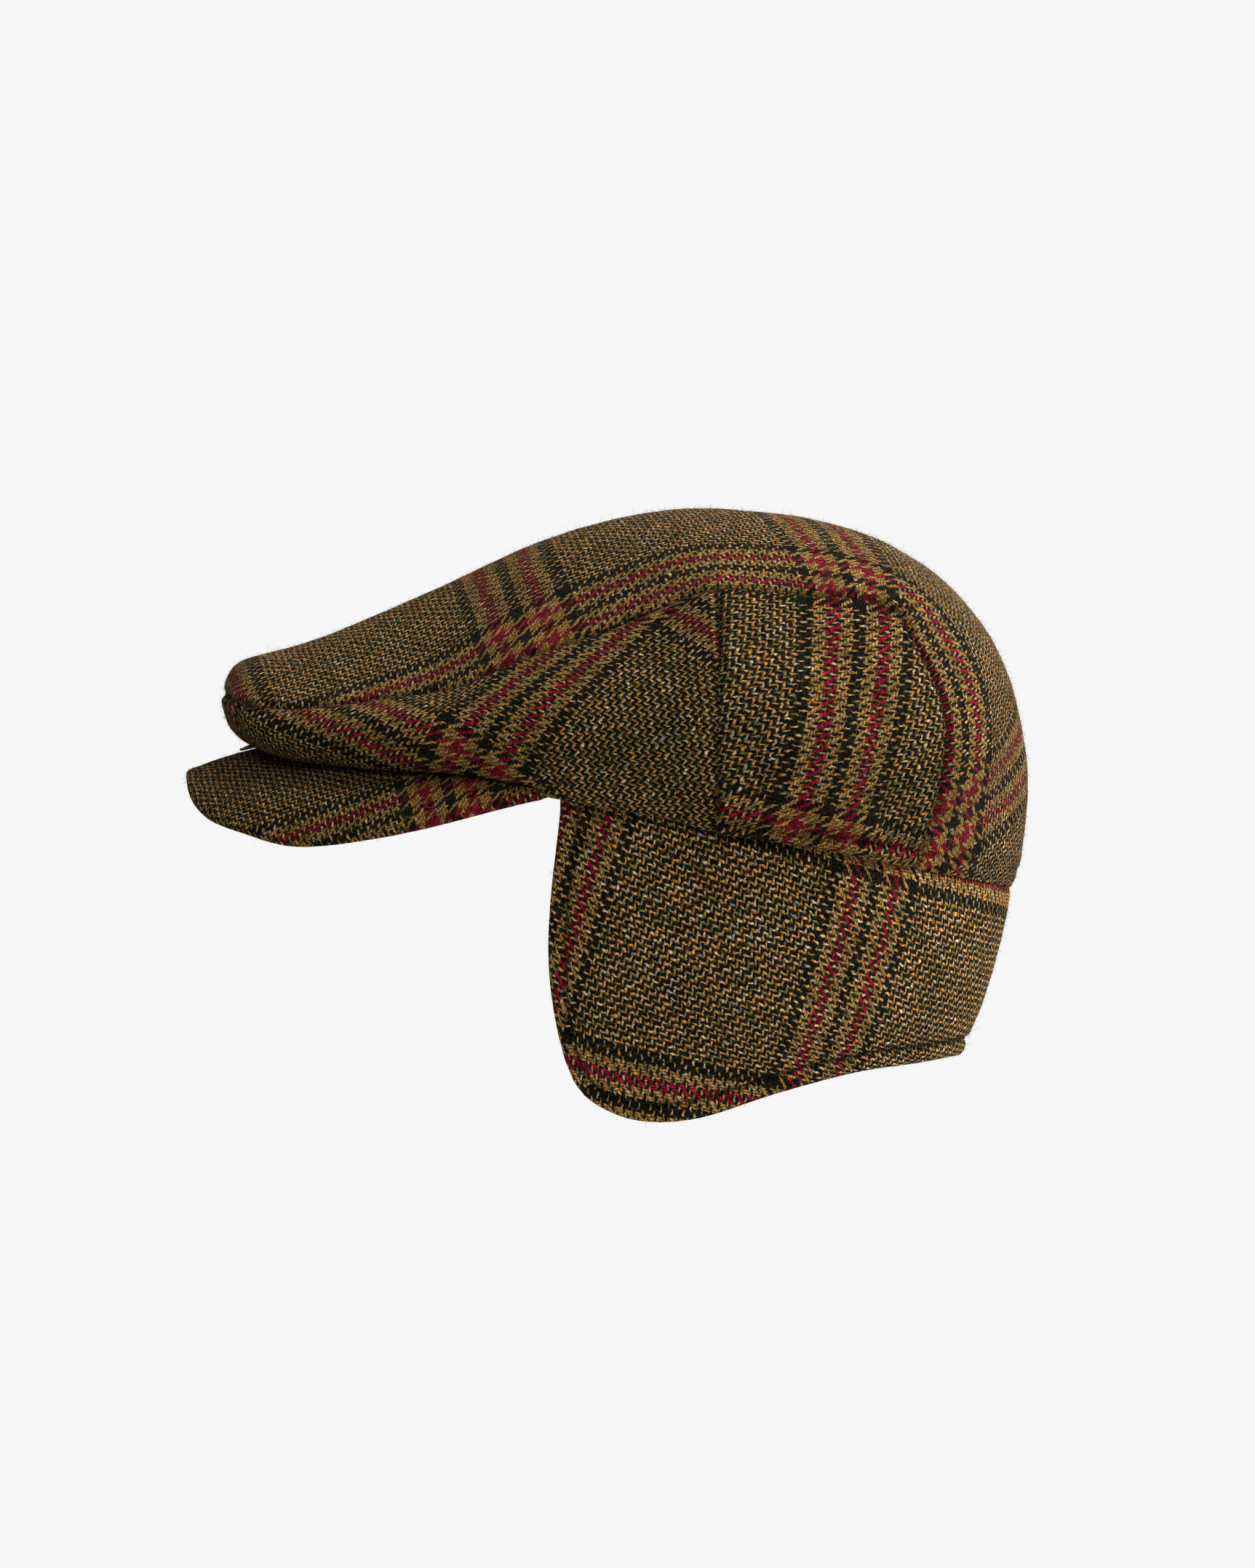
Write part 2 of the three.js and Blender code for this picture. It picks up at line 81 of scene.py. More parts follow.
class BentLine:
    """Natural cubic through table rows whose first column is the knot."""

    def __init__(self, rows: Sequence[Sequence[float]], odd: Sequence[int] = (),
                 both: bool = False) -> None:
        """Fits the line.

        Args:
            rows: Table rows, knot first.
            odd: Columns that change sign on the other side, when both is set.
            both: Whether the line runs on over its first row to the other side.
        """
        table = np.asarray(rows, float)
        if both:
            back = table[1:][::-1].copy()
            back[:, [0, *odd]] *= -1
            table = np.vstack([back, table])
        knots, values = table[:, 0], table[:, 1:]
        step = np.diff(knots)
        count = len(knots)
        left, right = np.eye(count), np.zeros(values.shape)
        for i in range(1, count - 1):
            left[i, i - 1:i + 2] = step[i - 1], 2 * (step[i - 1] + step[i]), step[i]
            right[i] = 6 * ((values[i + 1] - values[i]) / step[i]
                            - (values[i] - values[i - 1]) / step[i - 1])
        self.knots, self.values = knots, values
        self.bend = np.linalg.solve(left, right)

    def __call__(self, t: Grid) -> Grid:
        """Columns of the line at t.

        Args:
            t: Knot values.

        Returns:
            The columns at each of them.
        """
        t = np.asarray(t, float)
        i = np.clip(np.searchsorted(self.knots, t) - 1, 0, len(self.knots) - 2)
        h = (self.knots[i + 1] - self.knots[i])[..., None]
        a = (self.knots[i + 1] - t)[..., None] / h
        b = (t - self.knots[i])[..., None] / h
        return (a * self.values[i] + b * self.values[i + 1]
                + ((a ** 3 - a) * self.bend[i] + (b ** 3 - b) * self.bend[i + 1]) * h * h / 6)


def between(p: Grid, leave: Grid, q: Grid, reach: Grid, s: Grid) -> Grid:
    """Points between p and q that leave p along one tangent and reach q along the other.

    Args:
        p: First points.
        leave: Tangents at p.
        q: Last points.
        reach: Tangents at q.
        s: Share of the way.

    Returns:
        The points.
    """
    s = np.asarray(s, float)[..., None]
    s2, s3 = s * s, s * s * s
    return (p * (2 * s3 - 3 * s2 + 1) + leave * (s3 - 2 * s2 + s)
            + q * (3 * s2 - 2 * s3) + reach * (s3 - s2))


def flattened(d: Grid, n: Grid) -> Grid:
    """The vectors d turned into the plane of normal n, with their lengths kept."""
    length = np.linalg.norm(d, axis=-1, keepdims=True)
    return unit(d - n * (d * n).sum(-1, keepdims=True)) * length


def grid_normals(points: Grid) -> Grid:
    """Unit normals of a grid of points, columns crossed with rows; points that meet share one.

    Args:
        points: Grid of points.

    Returns:
        A unit vector for each point.
    """
    rows, columns = points.shape[:2]
    face = np.cross(points[:-1, 1:] - points[1:, :-1], points[1:, 1:] - points[:-1, :-1])
    total = np.zeros(points.shape)
    for i in (0, 1):
        for j in (0, 1):
            total[i:rows - 1 + i, j:columns - 1 + j] += face
    flat_points, flat_total = points.reshape(-1, 3), total.reshape(-1, 3)
    _, same = np.unique(np.round(flat_points * 1e3).astype(np.int64), axis=0,
                        return_inverse=True)
    same = same.ravel()
    shared = np.stack([np.bincount(same, flat_total[:, k]) for k in range(3)], -1)
    return unit(shared[same]).reshape(points.shape)


# ---------------------------------------------------------------- forms of the cap
# at, y, z: middle line of the crown from above the nose to the rim at the back
SPINE = (
    (0.12, -136, 57.3), (0.181, -122, 61.3), (0.25, -106, 67.5), (0.319, -90, 74.2),
    (0.397, -73, 81.6), (0.47, -57, 89.3), (0.56, -38, 96.8), (0.66, -16, 102.0),
    (0.749, 4, 103.8), (0.84, 23, 102.7), (0.918, 38, 100.8), (1.0, 55, 96.1),
    (1.12, 67, 90.8), (1.25, 78.5, 83.6), (1.38, 89, 73.4), (1.5, 97, 62.4),
    (1.62, 103.6, 48.4), (1.75, 108, 30), (1.88, 108.9, 9), (2.0, 105.4, -18),
)
# at, x, y, z: seam between the top panel and the side panels
SEAM = (
    (0, 0, -150.3, 44.4), (0.04, 18, -148.5, 43.2), (0.08, 32.5, -143.8, 41.4),
    (0.12, 41.5, -136, 40.2), (0.181, 47.5, -122, 40.2), (0.25, 51.5, -106, 42),
    (0.319, 55, -89.5, 44.2), (0.397, 59.5, -72, 47.6), (0.455, 62.5, -59, 53.6),
    (0.54, 66, -39.5, 60.3), (0.62, 68, -21, 66.6), (0.69, 69, -5, 73.4),
    (0.749, 69.3, 9, 76.4), (0.84, 69, 31, 76), (0.918, 68, 49, 75),
    (0.966, 66.5, 59, 73.2), (1, 65, 67, 69.6),
)
# at, x, y, z: fullest line of the side panels
BULGE = (
    (0, 0, -149.7, 38.4), (0.04, 20.5, -147.4, 36.6), (0.08, 37, -141.8, 34.4),
    (0.12, 48, -133, 32.8), (0.181, 57, -119, 32), (0.25, 65, -104, 32.2),
    (0.319, 71.8, -87, 33), (0.397, 78.2, -69, 34), (0.455, 82.4, -55.5, 35),
    (0.54, 87.6, -36.5, 36), (0.62, 91.4, -19, 37), (0.69, 94, -4, 37),
    (0.749, 95.2, 9, 36.5), (0.84, 94, 31, 36), (0.918, 87.6, 51, 36),
    (0.966, 79, 66, 37), (1, 66.5, 81.5, 38),
)
# at, x, y, z: lowest line of the side panels that shows
ROLL = (
    (0, 0, -146.4, 31.8), (0.04, 18.5, -143.2, 29), (0.08, 32.5, -136.6, 26.4),
    (0.12, 43, -128, 24.4), (0.181, 51.5, -115, 22.6), (0.25, 59, -101, 21.4),
    (0.319, 66.5, -85, 20.8), (0.397, 73.5, -68, 19.8), (0.455, 78.4, -55.5, 18.4),
    (0.5, 81.4, -46.4, 15.6), (0.54, 83.4, -37.5, 11.4), (0.62, 86, -19.5, 7.6),
    (0.69, 87.4, -4.5, 5.4), (0.749, 87.7, 8, 3.8), (0.84, 85.4, 28, 0.2),
    (0.918, 79, 46.5, -3.4), (0.966, 70.6, 61, -6), (1, 61.6, 73.6, -8.2),
)
# at, turn, reach: where the side panels end on the peak
HEM_ON_PEAK = (
    (0, 0, 0.5), (0.08, 15, 0.47), (0.181, 29, 0.36), (0.25, 36, 0.31), (0.319, 42.5, 0.28),
    (0.397, 50, 0.28), (0.455, 56, 0.34), (0.49, 60.2, 0.46), (0.506, 62, 0.54),
)
# at, turn: where the side panels end round the flap
HEM_ROUND_FLAP = (
    (0.526, 64.8), (0.556, 70), (0.62, 80), (0.749, 94), (0.84, 105), (0.918, 116), (1.0, 133.5),
)
# at, x, y, z: outer edge of the peak from centre front to corner
PEAK_EDGE = (
    (0, 0, -161.5, 17.4), (0.14, 26, -160.0, 11.6), (0.27, 46, -153.6, 4.2),
    (0.4, 59, -141.5, -0.4), (0.53, 67.5, -127, -4.2), (0.65, 73, -109, -3.3),
    (0.77, 76.6, -89, 0.3), (0.89, 78.8, -67, 5.7), (1, 77.8, -46.8, 10.8),
)
# at, y, z: lower outline of the flap from the front corner to the centre back
FLAP_EDGE = (
    (0, -40.4, -72.5), (0.04, -36.4, -81.6), (0.09, -30, -87.6), (0.15, -20.4, -91.7),
    (0.21, -9, -92.9), (0.28, 6, -90.8), (0.35, 20.6, -86), (0.43, 36, -81.4),
    (0.52, 53, -77.3), (0.63, 68.5, -75.2), (0.78, 81, -73.4), (1.0, 86.8, -72.6),
)
NOSE_END = SPINE[0][0]         # station where the middle line leaves the nose
SIDE_SEAM = 0.749              # station of the seam between the two side panels


def oval(turn: Grid, a: float, b: float) -> tuple[Grid, Grid]:
    """X and Y on an oval at a turn in degrees from the front."""
    r = np.radians(turn)
    return a * np.sin(r), -b * np.cos(r)


@dataclass(frozen=True)
class Opening:
    """The head opening, measured on the outside of the flap.

    Attributes:
        half_width: Half the width.
        half_length: Half the length.
        fall: Drop of the rim per millimetre toward the back.
        rise: Height of the rim beside the origin.
        lap: How far the crown's outside stands off the flap.
    """

    half_width: float = 82.5
    half_length: float = 103.0
    fall: float = 0.187
    rise: float = 1.5
    lap: float = 2.36

    def height(self, y: Grid) -> Grid:
        """Height of the rim at y."""
        return self.rise - self.fall * y

    def outside(self, turn: Grid) -> Grid:
        """Points of the crown's outside along the rim."""
        x, y = oval(turn, self.half_width + self.lap, self.half_length + self.lap)
        return np.stack([x, y, self.height(y)], -1)


@dataclass(frozen=True)
class PeakForm:
    """Middle surface of the peak.

    Attributes:
        half_width: Half width of the oval that the root follows.
        half_length: Half length of that oval.
        last_turn: Turn at which the root ends.
        front: Height of the root at centre front.
        corner: Height of the root at the corners.
        root_power: How the root's height eases from the front to the corners.
        arch: Rise above the chord from root to edge.
        arch_fade: Share of that rise lost at the corners.
        arch_lean: How far the rise leans outward at the sides.
        wall: Thickness of the covered board.
        edge: Outer edge, on both sides.
    """

    half_width: float = 80.0
    half_length: float = 100.5
    last_turn: float = 63.6
    front: float = 27.0
    corner: float = 11.0
    root_power: float = 0.7
    arch: float = 4.2
    arch_fade: float = 0.65
    arch_lean: float = 0.5
    wall: float = 3.6
    edge: BentLine = field(default_factory=lambda: BentLine(PEAK_EDGE, (1,), True))

    def point(self, s: Grid, w: Grid) -> Grid:
        """Middle of the wall: s from centre front to corner, w from root to edge.

        Args:
            s: Place from centre front (0) to a corner (1 or -1).
            w: Place from root (0) to edge (1).

        Returns:
            The points.
        """
        s, w = np.broadcast_arrays(np.asarray(s, float), np.asarray(w, float))
        turn = self.last_turn * s
        x, y = oval(turn, self.half_width, self.half_length)
        share = np.maximum(0, np.cos(np.radians(90 * s))) ** self.root_power
        root = np.stack([x, y, self.corner + (self.front - self.corner) * share], -1)
        arch = self.arch * 4 * w * (1 - w) * (1 - self.arch_fade * s * s)
        lift = np.stack([self.arch_lean * np.sin(np.radians(turn)), 0 * s, 0 * s + 1], -1)
        return root + (self.edge(s) - root) * w[..., None] + unit(lift) * arch[..., None]

    def normal(self, s: Grid, w: Grid) -> Grid:
        """Upward normal of the middle surface.

        Args:
            s: Place along the peak.
            w: Place from root to edge.

        Returns:
            Unit vectors.
        """
        step = 0.01
        along = self.point(s + step, w) - self.point(s - step, w)
        out = self.point(s, w + step) - self.point(s, w - step)
        return unit(np.cross(out, along))

    def upper(self, s: Grid, w: Grid) -> Grid:
        """Upper face of the wall."""
        return self.point(s, w) + self.normal(s, w) * (self.wall / 2)


@dataclass(frozen=True)
class CrownForm:
    """Outer surface of the crown.

    Attributes:
        opening: The head opening.
        peak: Form of the peak that the front edge follows.
        rest: Room between the crown's turned edge and the peak.
        stud_room: More room at the centre front, for the press stud.
        stud_zone: Stations between which that room ends.
        corner_rest: How much lower the edge sits toward the peak's corners.
        corner_zone: Stations between which it sinks.
        slope: Share of the top panel's slope that the side panel takes at the seam.
        slope_loss: How much of that share is lost at the back corner.
        nose_pull: Fullness of the top panel where it turns down at the nose.
        top_pull: Its fullness elsewhere.
        corner_ease: How far the turn at the back corners spreads over the panel.
        back_from: Station from which the top panel bends to the rim at the back.
        spine, seam, bulge, roll, on_peak, hem_turn: The tables above as lines.
    """

    opening: Opening = Opening()
    peak: PeakForm = field(default_factory=PeakForm)
    rest: float = 1.0
    stud_room: float = 2.0
    stud_zone: tuple[float, float] = (0.02, 0.1)
    corner_rest: float = 1.7
    corner_zone: tuple[float, float] = (0.34, 0.46)
    slope: float = 0.42
    slope_loss: float = 0.32
    nose_pull: float = 1.6
    top_pull: float = 1.12
    corner_ease: float = 0.18
    back_from: float = 1.55
    spine: BentLine = field(default_factory=lambda: BentLine(SPINE))
    seam: BentLine = field(default_factory=lambda: BentLine(SEAM, (1,), True))
    bulge: BentLine = field(default_factory=lambda: BentLine(BULGE, (1,), True))
    roll: BentLine = field(default_factory=lambda: BentLine(ROLL, (1,), True))
    on_peak: BentLine = field(default_factory=lambda: BentLine(HEM_ON_PEAK, (1,), True))
    hem_turn: BentLine = field(default_factory=lambda: BentLine(
        [*(row[:2] for row in HEM_ON_PEAK), *HEM_ROUND_FLAP], (1,), True))

    def middle(self, at: Grid) -> Grid:
        """Points of the middle line."""
        line = self.spine(np.maximum(at, NOSE_END))
        return np.concatenate([np.zeros(line.shape[:-1] + (1,)), line], -1)

    def hem(self, at: Grid) -> Grid:
        """Points where the side panels end.

        Args:
            at: Stations.

        Returns:
            The points.
        """
        first, second = HEM_ON_PEAK[-1][0], HEM_ROUND_FLAP[0][0]
        place = self.on_peak(np.minimum(at, first))
        s, reach = place[..., 0] / self.peak.last_turn, place[..., 1]
        room = (self.rest + self.stud_room * (1 - smooth(*self.stud_zone, at))
                - self.corner_rest * smooth(*self.corner_zone, at) + self.peak.wall / 2)
        on = self.peak.point(s, reach) + self.peak.normal(s, reach) * room[..., None]
        rim = self.opening.outside(self.hem_turn(at)[..., 0])
        return on + (rim - on) * smooth(first, second, at)[..., None]

    def side(self, at: Grid, v: Grid) -> Grid:
        """Side of the crown from seam (v = 0) over bulge (1) and roll (2) to hem (3).

        Args:
            at: Stations from centre front to the back corner.
            v: Place down the panel.

        Returns:
            The points.
        """
        at, v = np.broadcast_arrays(np.asarray(at, float), np.asarray(v, float))
        p = [self.seam(at), self.bulge(at), self.roll(at), self.hem(at)]
        step = [p[i + 1] - p[i] for i in range(3)]
        size = [np.linalg.norm(d, axis=-1, keepdims=True) for d in step]
        way = [d / n for d, n in zip(step, size)]
        share = (self.slope - self.slope_loss * smooth(0.86, 1, at))[..., None]
        tangent = [unit(unit(p[0] - self.middle(at)) * share + way[0] * (1 - share)),
                   unit(way[0] * size[1] + way[1] * size[0]),
                   unit(way[1] * size[2] + way[2] * size[1])]
        tangent.append(unit(way[2] * 2 - tangent[2]))
        part = np.minimum(2, np.floor(v)).astype(int)
        out = np.zeros(at.shape + (3,))
        for k in range(3):
            piece = between(p[k], tangent[k] * size[k], p[k + 1], tangent[k + 1] * size[k], v - k)
            out = np.where((part == k)[..., None], piece, out)
        return out

    def top_edge(self, at: Grid) -> Grid:
        """Edge of the top panel: the seam, then down the last line of the side panel."""
        low = self.side(np.ones_like(at), np.maximum(0, 3 * (at - 1)))
        return np.where((at <= 1)[..., None], self.side(np.minimum(at, 1), 0 * at), low)

    def edge_normal(self, at: Grid) -> Grid:
        """Outward normal of the side panel beside the top panel's edge.

        Args:
            at: Stations along that edge.

        Returns:
            Unit vectors.
        """
        u, v = np.minimum(at, 1.0), np.maximum(0, 3 * (at - 1))
        down, back = 0.04, 0.004
        low = np.minimum(v + down, 3)
        along = self.side(u, v) - self.side(np.maximum(u - back, 0), v)
        along = np.where((u > 0)[..., None], along, np.array([1.0, 0, 0]))
        return unit(np.cross(self.side(u, low) - self.side(u, low - down), along))

    def top_patch(self, at: Grid, w: Grid) -> Grid:
        """Top panel before easing: at along the cap, w from the middle to the edge.

        Args:
            at: Stations along the cap.
            w: Place from the middle (0) to the edge (1).

        Returns:
            The points.
        """
        at, w = np.broadcast_arrays(np.asarray(at, float), np.asarray(w, float))
        c, e = self.middle(at), self.top_edge(at)
        step = 0.01
        q = np.minimum(np.maximum(at, NOSE_END) + step, 2)
        up = unit(np.cross([1.0, 0, 0], self.middle(q) - self.middle(q - step)))
        pull = self.nose_pull + (self.top_pull - self.nose_pull) * smooth(0, NOSE_END, at)
        pull = pull[..., None]
        start = flattened(e - c, up) * pull
        end = flattened(e - c, self.edge_normal(at)) * pull
        rim = self.opening.outside(180 + (HEM_ROUND_FLAP[-1][1] - 180) * w)
        last = np.full_like(at, 2.0)
        low = between(self.middle(last), start, self.top_edge(last), end, w)
        return between(c, start, e, end, w) + (rim - low) * smooth(self.back_from, 2, at)[..., None]

    def top(self, at: Grid, w: Grid) -> Grid:
        """Top panel with the turn at its back corners eased; w below 0 is the right side.

        Args:
            at: Stations along the cap.
            w: Place from the right edge (-1) to the left (1).

        Returns:
            The points.
        """
        at, side = np.broadcast_arrays(np.asarray(at, float), np.asarray(w, float))
        w = np.abs(side)
        reach = self.corner_ease * 4 * w * (1 - w) * (1 - smooth(0.15, 0.35, np.abs(at - 1)))
        out = sum(self.top_patch(np.clip(at + k * reach / 2, 0, 2), w) * (3 - abs(k)) / 9
                  for k in range(-2, 3))
        return np.where((side < 0)[..., None], mirrored(out), out)


@dataclass(frozen=True)
class FlapForm:
    """Outer surface of the flap that goes round the ears and the neck.

    Attributes:
        opening: The head opening.
        tuck: How far the flap runs up inside the crown.
        lean: How fast the oval shortens below the rim.
        sweep: How much faster it shortens lower down.
        squeeze: How much the sides draw in, for each square millimetre of depth.
        bow: Fullness of the sides between rim and lower edge.
        front_bow: Fullness of the front edge.
        front_depth: Depth of the front edge below the rim.
        first_turn: Turn of the front edge at the rim, in degrees from the front.
        turn_power: How the stations crowd along the rim.
        wall: Thickness of both cloths and the padding.
        edge: Lower outline.
    """

    opening: Opening = Opening()
    tuck: float = 6.0
    lean: float = 0.13
    sweep: float = 0.003
    squeeze: float = 0.085 / 60
    bow: float = 1.6
    front_bow: float = 0.8
    front_depth: float = 82.0
    first_turn: float = 66.2
    turn_power: float = 0.94
    wall: float = 3.6
    edge: BentLine = field(default_factory=lambda: BentLine(FLAP_EDGE))

    def point(self, u: Grid, v: Grid) -> Grid:
        """u from the front edge (0) to the centre back (1) and on to the other front edge (2).

        Args:
            u: Place round the flap.
            v: Place from the tucked top (0) to the lower edge (1).

        Returns:
            Points of the outer surface.
        """
        turned, v = np.broadcast_arrays(np.asarray(u, float), np.asarray(v, float))
        u = np.where(turned > 1, 2 - turned, turned)
        low = self.edge(u)
        end_y, end_z = low[..., 0], low[..., 1]
        first = self.first_turn + (180 - self.first_turn) * u ** self.turn_power
        rim = self.opening.height(oval(first, 1, self.opening.half_length)[1])
        z = rim + self.tuck + (end_z - rim - self.tuck) * v
        below, depth = np.maximum(0, rim - z), np.maximum(1, rim - end_z)
        s = below / depth
        a = (self.opening.half_width - self.squeeze * below ** 2
             + self.bow * np.sin(np.pi * np.minimum(1, s)))
        b = self.opening.half_length - self.lean * below - self.sweep * below ** 2
        end_b = self.opening.half_length - self.lean * depth - self.sweep * depth ** 2
        bowed = np.sin(np.pi * np.minimum(1, below / self.front_depth))
        bowed = self.front_bow * bowed * (1 - u) ** 12
        centre_back = u > 0.9995
        last = np.where(centre_back, np.pi, np.arccos(np.clip(-end_y / end_b, -1, 1)))
        first = np.radians(first)
        turn = first + (last - first) * (s * s * (3 - 2 * s) * 0.5 + s * 0.5)
        out = np.stack([a * np.sin(turn), -b * np.cos(turn) - bowed, z], -1)
        return np.where((turned > 1)[..., None], mirrored(out), out)


# ---------------------------------------------------------------- cloth laid flat
class ClothCut:
    """A panel laid flat: every point of its grid gets a place on the uncut cloth.

    The flat shape is found by keeping each small triangle as stiff as it can be.
    """

    def __init__(self, a: Grid, b: Grid, points: Grid, weight: Optional[Grid] = None,
                 rounds: int = 300) -> None:
        """Lays the panel flat.

        Args:
            a: Values of the first parameter, in rising order.
            b: Values of the second parameter, in rising order.
            points: Points of the panel on that grid.
            weight: How much each point matters, 1 where it shows.
            rounds: How many times the stiffness is evened out.
        """
        self.a, self.b = a, b
        rows, columns = points.shape[:2]
        i, j = np.meshgrid(np.arange(rows - 1), np.arange(columns - 1), indexing="ij")
        corner = (i * columns + j).ravel()
        faces = np.vstack([np.stack([corner, corner + columns, corner + columns + 1], 1),
                           np.stack([corner, corner + columns + 1, corner + 1], 1)])
        care = np.ones(len(faces)) if weight is None else weight.ravel()[faces].mean(1)
        flat_points = points.reshape(-1, 3)
        _, first, same = np.unique(np.round(flat_points * 200).astype(np.int64), axis=0,
                                   return_index=True, return_inverse=True)
        same = same.ravel()
        place = flat_points[first]
        faces = same[faces]
        start = self.first_guess(points).reshape(-1, 2)[first]
        side_1 = place[faces[:, 1]] - place[faces[:, 0]]
        side_2 = place[faces[:, 2]] - place[faces[:, 0]]
        normal = np.cross(side_1, side_2)
        whole = np.linalg.norm(normal, axis=1) > 2e-6
        faces, care, side_1, side_2, normal = (
            x[whole] for x in (faces, care, side_1, side_2, normal))
        base = unit(side_1)
        rest = np.zeros((len(faces), 3, 2))
        rest[:, 1, 0] = np.linalg.norm(side_1, axis=1)
        rest[:, 2, 0] = (side_2 * base).sum(1)
        rest[:, 2, 1] = (side_2 * np.cross(unit(normal), base)).sum(1)
        self.lay = self.relax(faces, care, rest, start, rounds)[same].reshape(rows, columns, 2)

    @staticmethod
    def first_guess(points: Grid) -> Grid:
        """Lengths along the rows and along the middle column, as a first flat shape.

        Args:
            points: Points of the panel.

        Returns:
            A flat place for each.
        """
        steps = np.linalg.norm(np.diff(points, axis=1), axis=2)
        x = np.concatenate([np.zeros((len(points), 1)), np.cumsum(steps, 1)], 1)
        half = points.shape[1] // 2
        y = np.cumsum(np.linalg.norm(np.diff(points[:, half], axis=0, prepend=points[:1, half]),
                                     axis=1))
        return np.stack([x - x[:, [half]], np.broadcast_to(y[:, None], x.shape)], -1)

    @staticmethod
    def relax(faces: Grid, care: Grid, rest: Grid, start: Grid, rounds: int) -> Grid:
        """Turns each triangle to fit, then moves the points to suit all of them.

        Args:
            faces: Corners of the triangles.
            care: How much each triangle matters.
            rest: Its three corners laid flat by itself.
            start: First flat places.
            rounds: How many times to turn and move.

        Returns:
            The flat places.
        """
        count = len(start)
        stiff = np.zeros((count, count))
        pairs = ((0, 1), (1, 2), (2, 0))
        cot = []
        for k, (i, j) in enumerate(pairs):
            o = (k + 2) % 3
            p, q = rest[:, i] - rest[:, o], rest[:, j] - rest[:, o]
            across = np.maximum(np.abs(p[:, 0] * q[:, 1] - p[:, 1] * q[:, 0]), 1e-9)
            cot.append(care * np.clip((p * q).sum(1) / across, 0.02, 20) / 2)
            for m, n, sign in ((i, j, -1), (j, i, -1), (i, i, 1), (j, j, 1)):
                np.add.at(stiff, (faces[:, m], faces[:, n]), sign * cot[k])
        stiff[0, 0] += 1.0
        solve = np.linalg.inv(stiff)
        place = start.astype(float)
        edges = [rest[:, i] - rest[:, j] for i, j in pairs]
        for _ in range(rounds):
            now = place[faces]
            turn = sum(c[:, None, None] * e[:, :, None] * (now[:, i] - now[:, j])[:, None, :]
                       for c, e, (i, j) in zip(cot, edges, pairs))
            angle = np.arctan2(turn[:, 0, 1] - turn[:, 1, 0], turn[:, 0, 0] + turn[:, 1, 1])
            co, si = np.cos(angle), np.sin(angle)
            pull = np.zeros((count, 2))
            for c, e, (i, j) in zip(cot, edges, pairs):
                turned = np.stack([co * e[:, 0] - si * e[:, 1],
                                   si * e[:, 0] + co * e[:, 1]], 1) * c[:, None]
                for axis in range(2):
                    pull[:, axis] += np.bincount(faces[:, i], turned[:, axis], count)
                    pull[:, axis] -= np.bincount(faces[:, j], turned[:, axis], count)
            pull[0] += start[0]
            place = solve @ pull
        return place

    def at(self, a: Grid, b: Grid) -> Grid:
        """Flat places at parameter values, read between the grid's own points.

        Args:
            a: Values of the first parameter.
            b: Values of the second parameter.

        Returns:
            A flat place for each pair.
        """
        a, b = np.broadcast_arrays(np.asarray(a, float), np.asarray(b, float))
        i = np.clip(np.searchsorted(self.a, a) - 1, 0, len(self.a) - 2)
        j = np.clip(np.searchsorted(self.b, b) - 1, 0, len(self.b) - 2)
        s = ((a - self.a[i]) / (self.a[i + 1] - self.a[i]))[..., None]
        t = ((b - self.b[j]) / (self.b[j + 1] - self.b[j]))[..., None]
        lay = self.lay
        return ((lay[i, j] * (1 - s) + lay[i + 1, j] * s) * (1 - t)
                + (lay[i, j + 1] * (1 - s) + lay[i + 1, j + 1] * s) * t)

    def settle(self, origin: tuple[float, float], toward: tuple[float, float],
               right: tuple[float, float]) -> "ClothCut":
        """Puts the flat cut in a known position.

        Args:
            origin: Parameters of the point that becomes 0, 0.
            toward: Parameters of a point that comes to lie straight above it.
            right: Parameters of a point that comes to lie to its right.

        Returns:
            The cut itself.
        """
        p, q = self.at(*origin), self.at(*toward)
        up = unit(q - p)
        across = np.array([up[1], -up[0]])
        if (self.at(*right) - p) @ across < 0:
            across = -across
        self.lay = np.stack([(self.lay - p) @ across, (self.lay - p) @ up], -1)
        return self

    def even_sides(self) -> "ClothCut":
        """Makes the two sides of a cut that runs across X = 0 alike.

        Returns:
            The cut itself.
        """
        other = self.lay[:, ::-1] * np.array([-1.0, 1.0])
        self.lay = (self.lay + other) / 2
        return self


